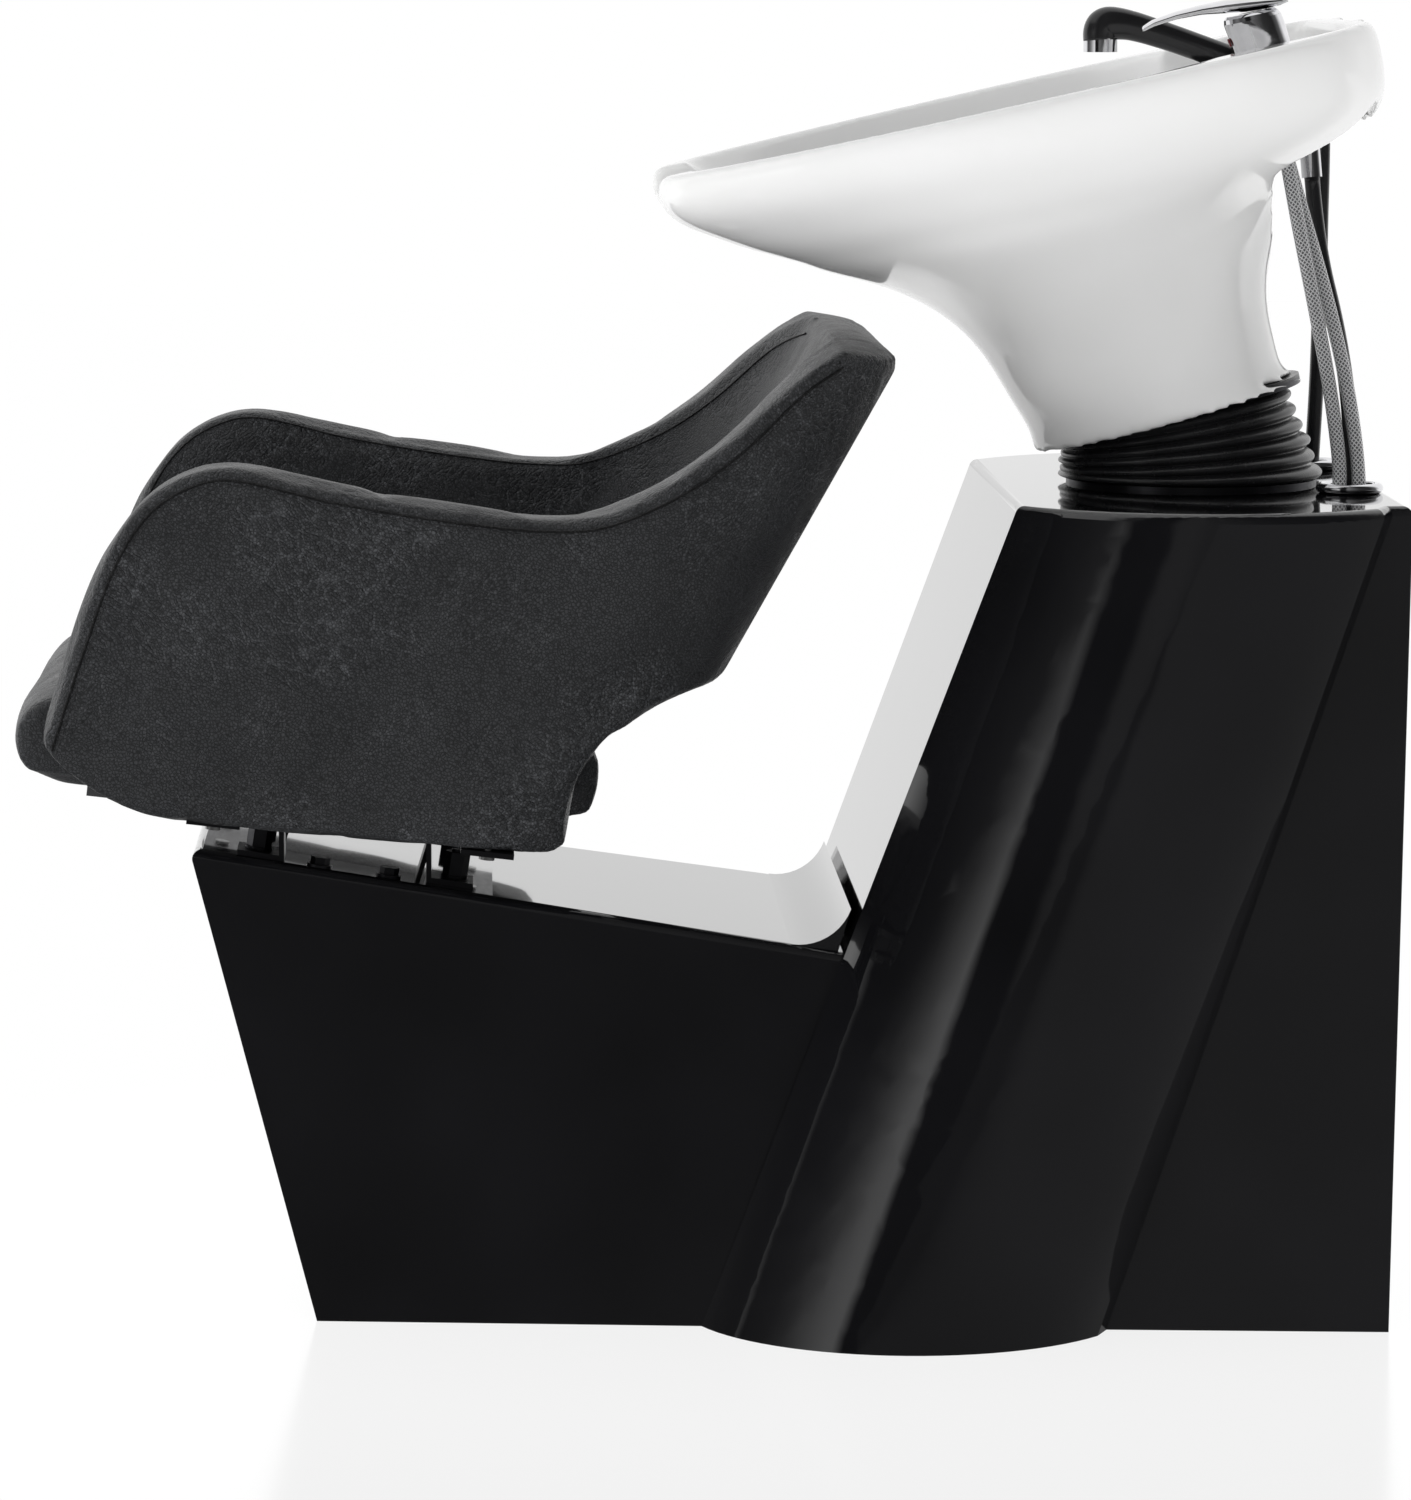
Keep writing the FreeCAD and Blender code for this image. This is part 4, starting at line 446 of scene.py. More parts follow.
# %% Finishes on the rigid nodes
RIGID_FINISHES = {
    "base_shell": GELCOAT,
    "service_tray": SHEET_STEEL,
    "tray_screws": ZINC,
    "hot_inlet": BRASS,
    "cold_inlet": BRASS,
    "inlet_nuts": BRASS,
    "seat_board": DUST_CLOTH,
    "seat_screws": ZINC,
    "shell_straps": BLACKED,
    "near_seat_bracket": BLACKED,
    "far_seat_bracket": BLACKED,
    "bracket_studs": BLACKED,
    "bracket_washers": BLACKED,
    "bracket_nuts": BLACKED,
    "seat_mount_plate": SHEET_STEEL,
    "plinth_bolts": BLACKED,
    "foot_gasket": RUBBER,
    "basin_carrier": BLACKED,
    "carrier_bolts": ZINC,
    "hinge_bushes": PIPE_GREY,
    "hinge_pin": ZINC,
    "pin_clips": ZINC,
    "tilt_bracket": BLACKED,
    "mount_bolts": ZINC,
    "bellows_ring": BLACKED,
    "waste_flange": CHROME,
    "waste_seal": RUBBER,
    "waste_backnut": BRASS,
    "hair_strainer": CHROME,
    "waste_trap": PIPE_GREY,
    "tap_body": CHROME,
    "tap_seal": RUBBER,
    "tap_backnut": BRASS,
    "tap_cartridge": PIPE_GREY,
    "tap_cap": CHROME,
    "tap_index": INDEX_RED,
    "shower_holder": PLASTIC,
    "shower_nozzle": CHROME,
    "spray_face": ROSE_GREY,
    "shower_tail": CHROME,
    "supply_nuts": CHROME,
    "shower_ferrule": CHROME,
    "near_hose_ring": CHROME,
    "far_hose_ring": CHROME,
}
for node, finish in RIGID_FINISHES.items():
    dress(frame["nodes"][node], finish)
print("rigid nodes", len(RIGID_FINISHES))

# %% [markdown]
# ## Hoses
# Two braided hoses feed the tap and a black hose feeds the hand shower. All three drop through chrome rings
# into the tower. Each is a tube swept along one smooth spline, with a map along its length for the braid.

# %% Hose routes in metres, as in the solid model
HOT_ROUTE = [
    (0.449, -0.069, 0.912),
    (0.459, -0.079, 0.850),
    (0.472, -0.097, 0.780),
    (0.485, -0.113, 0.705),
    (0.4935, -0.120, 0.630),
    (0.472, -0.132, 0.548),
    (0.440, -0.124, 0.476),
    (0.406, -0.104, 0.410),
    (0.380, -0.080, 0.342),
    (0.376, -0.062, 0.264),
    (0.452, -0.062, 0.262),
]
COLD_ROUTE = [
    (0.449, -0.051, 0.912),
    (0.466, -0.064, 0.850),
    (0.484, -0.090, 0.780),
    (0.500, -0.108, 0.705),
    (0.508, -0.117, 0.630),
    (0.500, -0.128, 0.556),
    (0.474, -0.116, 0.490),
    (0.440, -0.078, 0.440),
    (0.430, -0.030, 0.404),
    (0.422, 0.024, 0.372),
    (0.381, 0.060, 0.340),
    (0.376, 0.062, 0.264),
    (0.452, 0.062, 0.262),
]
SHOWER_ROUTE = [
    (0.477, -0.038, 0.874),
    (0.481, -0.044, 0.822),
    (0.496, -0.064, 0.756),
    (0.502, -0.095, 0.690),
    (0.5005, -0.1045, 0.628),
    (0.500, -0.096, 0.552),
    (0.486, -0.084, 0.480),
    (0.470, -0.062, 0.424),
    (0.462, -0.024, 0.396),
    (0.462, 0.024, 0.396),
    (0.470, 0.062, 0.424),
    (0.486, 0.092, 0.480),
    (0.496, 0.108, 0.552),
    (0.499, 0.113, 0.628),
    (0.502, 0.106, 0.700),
    (0.502, 0.094, 0.766),
    (0.500, 0.078, 0.830),
    (0.499, 0.064, 0.880),
    (0.4983, 0.060, 0.9362),
    (0.444, 0.060, 0.9565),
]
SUPPLY_DIAMETER = 0.011
SHOWER_HOSE_DIAMETER = 0.012


# %% Sweep helpers
def spline_points(route, steps=10):
    """Points along one smooth NURBS spline that has the route as its control points."""
    curve = bpy.data.curves.new("route", "CURVE")
    curve.dimensions = "3D"
    curve.resolution_u = steps
    line = curve.splines.new("NURBS")
    line.points.add(len(route) - 1)
    for point, place in zip(line.points, route):
        point.co = (*place, 1.0)
    line.order_u = 3
    line.use_endpoint_u = True
    carrier = link(bpy.data.objects.new("route", curve))
    graph = bpy.context.evaluated_depsgraph_get()
    mesh = bpy.data.meshes.new_from_object(carrier.evaluated_get(graph))
    points = [v.co.copy() for v in mesh.vertices]
    bpy.data.objects.remove(carrier)
    bpy.data.curves.remove(curve)
    bpy.data.meshes.remove(mesh)
    return points


def band(shape, low, up):
    """The faces between two rings of points."""
    faces = []
    for k in range(len(low)):
        after = (k + 1) % len(low)
        faces.append(shape.faces.new((low[k], low[after], up[after], up[k])))
    return faces


def skin_rings(name, rings, stations):
    """A closed skin over rings of points, with a map of metres along by turns round."""
    shape = bmesh.new()
    layer = shape.loops.layers.uv.new("along")
    rows = [[shape.verts.new(point) for point in ring] for ring in rings]
    sides = len(rings[0])
    for i in range(len(rows) - 1):
        for k, face in enumerate(band(shape, rows[i], rows[i + 1])):
            face.smooth = True
            corners = [(i, k), (i, k + 1), (i + 1, k + 1), (i + 1, k)]
            for loop, (row, turn) in zip(face.loops, corners):
                loop[layer].uv = (stations[row], turn / sides)
    shape.faces.new(list(reversed(rows[0])))
    shape.faces.new(rows[-1])
    bmesh.ops.recalc_face_normals(shape, faces=shape.faces)
    return made(name, shape)


def sweep(name, points, radii, sides=20):
    """A closed round tube along points, with a radius at each."""
    last = len(points) - 1
    tangents = [(points[min(i + 1, last)] - points[max(i - 1, 0)]).normalized() for i in range(last + 1)]
    side = tangents[0].orthogonal().normalized()
    travelled = 0.0
    rings, stations = [], []
    for i, (point, tangent) in enumerate(zip(points, tangents)):
        side = (side - tangent * side.dot(tangent)).normalized()
        other = tangent.cross(side)
        if i:
            travelled += (point - points[i - 1]).length
        stations.append(travelled)
        turns = [2 * math.pi * k / sides for k in range(sides)]
        rings.append([point + (side * math.cos(t) + other * math.sin(t)) * radii[i] for t in turns])
    return skin_rings(name, rings, stations)


# %% Braid and hoses
BRAID_TURNS_PER_METRE = 260.0
BRAID_WIRES = 10.0


def braid():
    """Two sets of fine wires that wind opposite ways, read from the map along the hose."""
    material, tree, shader = new_material("braided_steel")
    shader.inputs["Metallic"].default_value = 0.5
    coords = tree.nodes.new("ShaderNodeTexCoord")
    split = tree.nodes.new("ShaderNodeSeparateXYZ")
    wire(tree, coords.outputs["UV"], split.inputs["Vector"])
    strands = []
    for direction in (1.0, -1.0):
        wound = add(tree, "ShaderNodeMath", operation="MULTIPLY_ADD")
        wire(tree, split.outputs["X"], wound.inputs[0])
        wound.inputs[1].default_value = direction * BRAID_TURNS_PER_METRE
        turns = add(tree, "ShaderNodeMath", operation="MULTIPLY")
        wire(tree, split.outputs["Y"], turns.inputs[0])
        turns.inputs[1].default_value = BRAID_WIRES
        wire(tree, turns.outputs["Value"], wound.inputs[2])
        wave = add(tree, "ShaderNodeMath", operation="MULTIPLY")
        wire(tree, wound.outputs["Value"], wave.inputs[0])
        wave.inputs[1].default_value = 2 * math.pi
        sine = add(tree, "ShaderNodeMath", operation="SINE")
        wire(tree, wave.outputs["Value"], sine.inputs[0])
        strands.append(sine.outputs["Value"])
    over = add(tree, "ShaderNodeMath", operation="MAXIMUM")
    wire(tree, strands[0], over.inputs[0])
    wire(tree, strands[1], over.inputs[1])
    gap, crown = (0.12, 0.12, 0.125), (0.72, 0.72, 0.73)
    vary(tree, shader, "Base Color", over.outputs["Value"], [(0.15, gap), (0.8, crown)])
    smear = effect(tree, UNEVENNESS, Scale=90.0, Detail=3.0)
    vary(tree, shader, "Roughness", smear, [(0.3, 0.25), (0.7, 0.4)])
    bump(tree, shader, over.outputs["Value"], 0.5, 0.0006)
    return material


BRAID = braid()


def make_hose(node, route, diameter, material):
    points = spline_points(route)
    tube = sweep(node + "_tube", points, [diameter / 2] * len(points))
    dress(tube, material)
    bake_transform(tube)
    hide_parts(node)
    return tube


make_hose("hot_supply_hose", HOT_ROUTE, SUPPLY_DIAMETER, BRAID)
make_hose("cold_supply_hose", COLD_ROUTE, SUPPLY_DIAMETER, BRAID)
make_hose("shower_hose", SHOWER_ROUTE, SHOWER_HOSE_DIAMETER, PLASTIC)

# %% [markdown]
# ## Bellows
# A rubber bellows hides the hinge under the basin. Its folds lie level on the tower and fan out to the
# tilted foot, so each ring of the mesh turns a little more than the one below.

# %% Bellows
BASIN_TILT = math.radians(12.5)
FOOT_PLACE = Vector((0.362, 0.0, 0.696))
BELLOWS_LOW = Vector((0.389, 0.0, 0.637))
BELLOWS_TOP_U = 0.012
BELLOWS_DROP = 0.0074
BELLOWS_RADIUS = 0.106
BELLOWS_TOP_RADIUS = 0.091
BELLOWS_GROOVE = 0.009
BELLOWS_FOLDS = 6
BELLOWS_WALL = 0.0016


def tilted(u, y, w):
    """A place in the level frame of the basin, taken to where the tilted basin has it."""
    x = FOOT_PLACE.x + u * math.cos(BASIN_TILT) - w * math.sin(BASIN_TILT)
    z = FOOT_PLACE.z + u * math.sin(BASIN_TILT) + w * math.cos(BASIN_TILT)
    return Vector((x, y, z))


def fold_depth(level, angle):
    """How far inside the outer radius the rubber lies: deep folds behind, fewer and flatter in front."""
    place = BELLOWS_FOLDS * level
    number = int(min(place, BELLOWS_FOLDS - 1e-6))
    groove = 1 - abs(math.sin(math.pi * place)) ** 0.6
    behind = 0.5 + 0.5 * math.cos(angle)
    nearest = round(place)
    if nearest in (0, BELLOWS_FOLDS):
        shown = 1.0
    elif nearest % 2:
        shown = 0.25 + 0.75 * behind
    else:
        shown = 0.6 + 0.4 * behind
    sag = 0.22 * math.sin(2.3 * number + 2.0 * angle) * (1 - groove)
    return BELLOWS_GROOVE * max(0.0, groove * shown + 0.12 + sag * 0.5)


def make_bellows():
    high = tilted(BELLOWS_TOP_U, 0.0, -BELLOWS_DROP)
    rows_per_fold, sides = 14, 144
    rows = BELLOWS_FOLDS * rows_per_fold
    shape = bmesh.new()
    rings = []
    for row in range(rows + 1):
        level = row / rows
        turn = BASIN_TILT * level
        middle = BELLOWS_LOW.lerp(high, level)
        outer = BELLOWS_RADIUS + (BELLOWS_TOP_RADIUS - BELLOWS_RADIUS) * level
        level_way = Vector((math.cos(turn), 0.0, math.sin(turn)))
        ring = []
        for k in range(sides):
            angle = 2 * math.pi * k / sides
            reach = outer - fold_depth(level, angle)
            across = level_way * math.cos(angle) + Vector((0, 1, 0)) * math.sin(angle)
            ring.append(shape.verts.new(middle + across * reach))
        rings.append(ring)
    for low, up in zip(rings, rings[1:]):
        for face in band(shape, low, up):
            face.smooth = True
    bmesh.ops.recalc_face_normals(shape, faces=shape.faces)
    obj = made("bellows_folds", shape)
    wall = obj.modifiers.new("wall", "SOLIDIFY")
    wall.thickness = BELLOWS_WALL
    wall.offset = -1.0
    applied(obj)
    dress(obj, RUBBER)
    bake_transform(obj)
    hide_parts("bellows")
    return obj


print("bellows", len(make_bellows().data.polygons))


# %% Waste hose inside the bellows
WASTE_RIDGES = 30
WASTE_RINGS = 120


def make_waste_hose():
    low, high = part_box("waste_hose")
    middle = (low + high) / 2
    radius = (high.x - low.x) / 2
    points, radii = [], []
    for i in range(WASTE_RINGS + 1):
        share = i / WASTE_RINGS
        points.append(Vector((middle.x, middle.y, low.z + (high.z - low.z) * share)))
        radii.append(radius * (0.95 + 0.05 * math.cos(2 * math.pi * WASTE_RIDGES * share)))
    tube = sweep("waste_hose_tube", points, radii, sides=28)
    dress(tube, PIPE_GREY)
    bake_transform(tube)
    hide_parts("waste_hose")
    return tube


print("waste hose", make_waste_hose().name)

# %% [markdown]
# ## Upholstery
# The arms and back are one foam wrap under a tight leatherette cover, and the seat pad is softer. Each
# starts as a copy of its solid in small even cells. Remeshing alone leaves steps on a slanted face, so every
# point is laid back on the solid. A cloth simulation with inner pressure then blows the pad up a little,
# which rounds its edges as foam does under a cover.

# %% Padding by simulation
def remeshed(node, name, cell):
    """A copy of a solid in small even cells."""
    pad = merged_copy(node, name)
    voxels = pad.modifiers.new("even_cells", "REMESH")
    voxels.mode = "VOXEL"
    voxels.voxel_size = cell
    voxels.use_smooth_shade = True
    return applied(pad)


STEP_ROUNDS = 5


def lay_back(pad, node):
    """Softens the steps between cells and lays every point back on the solid's true surface."""
    soften(pad, STEP_ROUNDS)
    fit = pad.modifiers.new("true_surface", "SHRINKWRAP")
    fit.target = frame["nodes"][node]
    fit.wrap_method = "NEAREST_SURFACEPOINT"
    return applied(pad)


def soften(pad, rounds, factor=0.5):
    smooth = pad.modifiers.new("soften", "SMOOTH")
    smooth.iterations = rounds
    smooth.factor = factor
    return applied(pad)


def inflate(pad, pressure, cap, frames=20):
    """Runs a short pressure simulation and keeps each point within a cap of where it began."""
    start = np.array([v.co for v in pad.data.vertices])
    cloth = pad.modifiers.new("foam", "CLOTH")
    settings = cloth.settings
    settings.use_pressure = True
    settings.uniform_pressure_force = pressure
    settings.tension_stiffness = 40
    settings.compression_stiffness = 40
    settings.bending_stiffness = 4
    settings.effector_weights.gravity = 0.0
    cloth.point_cache.frame_start = 1
    cloth.point_cache.frame_end = frames
    for number in range(1, frames + 1):
        scene.frame_set(number)
    applied(pad)
    scene.frame_set(1)
    end = np.array([v.co for v in pad.data.vertices])
    move = end - start
    far = np.linalg.norm(move, axis=1, keepdims=True)
    kept = start + move * np.minimum(1.0, cap / np.maximum(far, 1e-9))
    pad.data.vertices.foreach_set("co", kept.ravel())
    pad.data.update()
    return float(np.minimum(far, cap).mean())


REAR_CORNER_X, REAR_CORNER_Z, REAR_CORNER_RADIUS = -0.116, 0.412, 0.030


def round_rear_corner(pad):
    """Rolls the lower rear corner of the arms, where the cover is pulled round the foam."""
    for vertex in pad.data.vertices:
        away = Vector((vertex.co.x - REAR_CORNER_X, 0.0, vertex.co.z - REAR_CORNER_Z))
        if away.x > 0 and away.z < 0 and away.length > REAR_CORNER_RADIUS:
            vertex.co -= away * (1 - REAR_CORNER_RADIUS / away.length)


def make_pad(node, name, cell, pressure, cap, rolled=False):
    pad = lay_back(remeshed(node, name, cell), node)
    if rolled:
        round_rear_corner(pad)
    soften(pad, 4)
    moved = 0.0
    moved = inflate(pad, pressure, cap)
    soften(pad, 3)
    pad.data.polygons.foreach_set("use_smooth", [True] * len(pad.data.polygons))
    dress(pad, LEATHER)
    take_place(pad, node)
    print(name, "cells", len(pad.data.polygons), "mean lift mm", round(1000 * moved, 2))
    return pad


PAD_CELL = 0.005
wrap_cover = make_pad("chair_wrap", "wrap_cover", PAD_CELL, pressure=2.0, cap=0.0025, rolled=True)
seat_cover = make_pad("seat_cushion", "seat_cover", PAD_CELL, pressure=3.0, cap=0.005)

# %% [markdown]
# ## Seams
# The cover of the wrap is sewn from a side panel, an inner panel and a band over the edge. The seam is found
# by looking straight at the padded surface along the outline of the arm, a little inside its edge, and a thin
# sunk cord is laid there. Stitches follow it as instances of one short thread.

# %% Seam paths on the padded surface
CHAIR_FRONT, CHAIR_LENGTH = -0.500, 0.650
CHAIR_LOW, CHAIR_HEIGHT = 0.380, 0.376
SEAM_STEP = 0.004
SEAM_INSET, INNER_SEAM_INSET, STITCH_INSET = 0.011, 0.006, 0.0145
SEAM_LIFT, STITCH_LIFT = 0.0002, 0.0003
LOOK_FROM = 0.5
ARM_SHARES = [
    (0.0, 0.229),
    (0.034, 0.407),
    (0.075, 0.596),
    (0.118, 0.707),
    (0.172, 0.766),
    (0.231, 0.779),
    (0.343, 0.734),
    (0.482, 0.694),
    (0.586, 0.676),
    (0.651, 0.686),
    (0.731, 0.745),
    (0.795, 0.822),
    (0.865, 0.934),
    (0.915, 0.99),
]


def chair_place(share):
    return Vector((CHAIR_FRONT + CHAIR_LENGTH * share[0], 0.0, CHAIR_LOW + CHAIR_HEIGHT * share[1]))


def smooth_line(points, step):
    """Even points along a smooth line through the given points."""
    fine = []
    for i in range(len(points) - 1):
        before, a = points[max(i - 1, 0)], points[i]
        b, after = points[i + 1], points[min(i + 2, len(points) - 1)]
        for k in range(24):
            t = k / 24
            fine.append(
                0.5 * ((2 * a) + (b - before) * t + (2 * before - 5 * a + 4 * b - after) * t**2
                       + (3 * a - before - 3 * b + after) * t**3)
            )
    fine.append(points[-1])
    even, carried = [fine[0]], 0.0
    for a, b in zip(fine, fine[1:]):
        carried += (b - a).length
        if carried >= step:
            even.append(b)
            carried = 0.0
    return even


def inset_line(line, depth):
    """The same line moved square to itself, to the inside of the arm."""
    moved = []
    for i, point in enumerate(line):
        along = (line[min(i + 1, len(line) - 1)] - line[max(i - 1, 0)]).normalized()
        moved.append(point + Vector((along.z, 0.0, -along.x)) * depth)
    return moved


def looked_at(obj, line, start_y, way_y, lift):
    """Where straight looks along Y meet a surface, lifted a little out of it."""
    found = []
    for point in line:
        hit, place, normal, _ = obj.ray_cast(Vector((point.x, start_y, point.z)), Vector((0.0, way_y, 0.0)))
        if hit:
            found.append(place + normal * lift)
    return found


arm_line = smooth_line([chair_place(s) for s in ARM_SHARES], SEAM_STEP)
seam_line = inset_line(arm_line, SEAM_INSET)
inner_line = inset_line(arm_line, INNER_SEAM_INSET)
stitch_line = inset_line(arm_line, STITCH_INSET)
print("seam points", len(seam_line))

# %% Seam cords
SEAM_RADIUS = 0.0011


def seam_cord(name, points, radius, material):
    cord = sweep(name, points, [radius] * len(points), sides=8)
    dress(cord, material)
    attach(cord, "base")
    return cord


for label, side in (("near", -1), ("far", 1)):
    outer = looked_at(wrap_cover, seam_line, side * LOOK_FROM, -side, SEAM_LIFT)
    seam_cord(label + "_arm_seam", outer, SEAM_RADIUS, PIPING)
    inner = looked_at(wrap_cover, inner_line, 0.0, side, SEAM_LIFT)
    seam_cord(label + "_inner_seam", inner, 0.8 * SEAM_RADIUS, PIPING)


NOSE_SEAM_INSET = 0.030
NOSE_SEAM_SHARES = [0.03 + 0.94 * k / 60 for k in range(61)]
NOSE_LOOK_FROM = 0.1


def cushion_seam_points(obj):
    """A line over the nose of the cushion, a little behind its front edge."""
    low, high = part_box("seat_cushion")
    middle_z = (low.z + high.z) / 2
    found = []
    for share in NOSE_SEAM_SHARES:
        y = low.y + (high.y - low.y) * share
        ahead = Vector((low.x - NOSE_LOOK_FROM, y, middle_z))
        hit, front, _, _ = obj.ray_cast(ahead, Vector((1.0, 0.0, 0.0)))
        if hit:
            above = Vector((front.x + NOSE_SEAM_INSET, y, high.z + NOSE_LOOK_FROM))
            hit, place, normal, _ = obj.ray_cast(above, Vector((0.0, 0.0, -1.0)))
            if hit:
                found.append(place + normal * SEAM_LIFT)
    return found


nose_line = cushion_seam_points(seat_cover)
seam_cord("cushion_nose_seam", nose_line, SEAM_RADIUS, PIPING)
print("cushion seam points", len(nose_line))


# %% Stitches as instances along the seam
def stitch_tree():
    """Short threads at an even pitch along the edges of the mesh that carries it."""
    tree = bpy.data.node_groups.new("stitches", "GeometryNodeTree")
    tree.interface.new_socket("Geometry", in_out="INPUT", socket_type="NodeSocketGeometry")
    for label, value in (("Pitch", 0.006), ("Thread", 0.0004), ("Length", 0.0022)):
        socket = tree.interface.new_socket(label, in_out="INPUT", socket_type="NodeSocketFloat")
        socket.default_value = value
    tree.interface.new_socket("Material", in_out="INPUT", socket_type="NodeSocketMaterial")
    tree.interface.new_socket("Geometry", in_out="OUTPUT", socket_type="NodeSocketGeometry")
    start = tree.nodes.new("NodeGroupInput")
    end = tree.nodes.new("NodeGroupOutput")
    line = tree.nodes.new("GeometryNodeMeshToCurve")
    wire(tree, start.outputs["Geometry"], line.inputs["Mesh"])
    places = add(tree, "GeometryNodeCurveToPoints", mode="LENGTH")
    wire(tree, line.outputs["Curve"], places.inputs["Curve"])
    wire(tree, start.outputs["Pitch"], places.inputs["Length"])
    thread = add(tree, "GeometryNodeMeshUVSphere", Segments=8, Rings=6, Radius=1.0)
    size = tree.nodes.new("ShaderNodeCombineXYZ")
    wire(tree, start.outputs["Thread"], size.inputs["X"])
    wire(tree, start.outputs["Thread"], size.inputs["Y"])
    wire(tree, start.outputs["Length"], size.inputs["Z"])
    sewn = tree.nodes.new("GeometryNodeInstanceOnPoints")
    wire(tree, places.outputs["Points"], sewn.inputs["Points"])
    wire(tree, thread.outputs["Mesh"], sewn.inputs["Instance"])
    wire(tree, places.outputs["Rotation"], sewn.inputs["Rotation"])
    wire(tree, size.outputs["Vector"], sewn.inputs["Scale"])
    real = tree.nodes.new("GeometryNodeRealizeInstances")
    wire(tree, sewn.outputs["Instances"], real.inputs["Geometry"])
    dressed = tree.nodes.new("GeometryNodeSetMaterial")
    wire(tree, real.outputs["Geometry"], dressed.inputs["Geometry"])
    wire(tree, start.outputs["Material"], dressed.inputs["Material"])
    wire(tree, dressed.outputs["Geometry"], end.inputs["Geometry"])
    return tree


STITCHES = stitch_tree()
STITCH_PITCH, STITCH_LENGTH, THREAD_RADIUS = 0.0055, 0.002, 0.00045


def sew(name, points):
    mesh = bpy.data.meshes.new(name)
    mesh.from_pydata([tuple(p) for p in points], [(i, i + 1) for i in range(len(points) - 1)], [])
    obj = link(bpy.data.objects.new(name, mesh))
    repeat = obj.modifiers.new("stitches", "NODES")
    repeat.node_group = STITCHES
    values = {"Pitch": STITCH_PITCH, "Thread": THREAD_RADIUS, "Length": STITCH_LENGTH, "Material": THREAD}
    for item in STITCHES.interface.items_tree:
        if item.in_out == "INPUT" and item.name in values:
            repeat[item.identifier] = values[item.name]
    applied(obj)
    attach(obj, "base")
    return obj


for label, side in (("near", -1), ("far", 1)):
    row = looked_at(wrap_cover, stitch_line, side * LOOK_FROM, -side, STITCH_LIFT)
    print(label, "stitches", len(sew(label + "_arm_stitches", row).data.polygons))

# %% [markdown]
# ## Basin
# A cast and glazed basin has no sharp edge anywhere: glaze pulls thin on an edge and every rim is rolled. The
# solid has crisp edges, so its copy is remeshed in fine even cells and smoothed, which rolls the rim, the
# neck rest and the edge of the tap deck by a few millimetres.

# %% Basin
BASIN_CELL = 0.0036
GLAZE_ROUNDS = 12


def make_basin():
    basin = remeshed("basin", "basin_glaze", BASIN_CELL)
    soften(basin, GLAZE_ROUNDS)
    basin.data.polygons.foreach_set("use_smooth", [True] * len(basin.data.polygons))
    dress(basin, GLAZE)
    take_place(basin, "basin")
    return basin


print("basin cells", len(make_basin().data.polygons))

# %% [markdown]
# ## Hand shower and lever
# The hand shower is one smooth elbow of black plastic, so it is swept along a curve that turns down at the
# head. Its holder leans, so the hole in the deck is a long oval, and an oval plate closes it. The lever is a
# chrome blade that is thin at its tip and swells into its heel, so it is skinned over oval rings.

# %% Hand shower
SHOWER_SLOPE = math.radians(33.0)
SHOWER_DECK = (0.128, 0.060, 0.242)
NOZZLE_TOP = Vector((0.3206, 0.060, 0.9799))
HANDLE_ALONG = (0.002, 0.040)
ELBOW_OFFSETS = ((0.040, 0.0, 0.0065), (0.018, 0.0, 0.0125), (-0.0015, 0.0, 0.0125), (0.0, 0.0, 0.0))
HANDLE_RADII = [0.0108, 0.0106, 0.0108, 0.0112, 0.0118, 0.0130, 0.0138, 0.0137]


def holder_place(along):
    """A place on the axis of the shower holder, in the tilted basin."""
    u, y, w = SHOWER_DECK
    return tilted(u - along * math.cos(SHOWER_SLOPE), y, w + along * math.sin(SHOWER_SLOPE))


def eased(values, count):
    """Values spread evenly along a line and filled in between."""
    return list(np.interp(np.linspace(0, 1, count), np.linspace(0, 1, len(values)), values))


def make_shower():
    route = [holder_place(along) for along in HANDLE_ALONG]
    route += [NOZZLE_TOP + Vector(offset) for offset in ELBOW_OFFSETS]
    points = spline_points([tuple(p) for p in route], steps=14)
    handle = sweep("shower_elbow", points, eased(HANDLE_RADII, len(points)), sides=32)
    dress(handle, PLASTIC)
    take_place(handle, "shower_handle")
    return handle


print("hand shower", len(make_shower().data.polygons))

# %% Oval plate under the shower holder
PLATE_SIDES = 96
# Half length, half width and height above the deck of each ring of the plate's section.
PLATE_RINGS = [
    (0.0465, 0.0330, -0.0006),
    (0.0465, 0.0330, 0.0018),
    (0.0455, 0.0320, 0.0026),
    (0.0290, 0.0160, 0.0030),
    (0.0290, 0.0160, -0.0006),
]


def make_holder_plate():
    """A flat oval ring that closes the slanted hole in the deck round the holder."""
    u, y, w = SHOWER_DECK
    turns = [2 * math.pi * k / PLATE_SIDES for k in range(PLATE_SIDES)]
    shape = bmesh.new()
    rows = []
    for length, width, height in PLATE_RINGS:
        ring = [tilted(u + length * math.cos(t), y + width * math.sin(t), w + height) for t in turns]
        rows.append([shape.verts.new(place) for place in ring])
    for low, up in zip(rows, rows[1:] + rows[:1]):
        band(shape, low, up)
    bmesh.ops.recalc_face_normals(shape, faces=shape.faces)
    plate = made("holder_plate", shape)
    dress(plate, PLASTIC)
    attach(plate, "basin")
    return plate


print("holder plate", len(make_holder_plate().data.polygons))

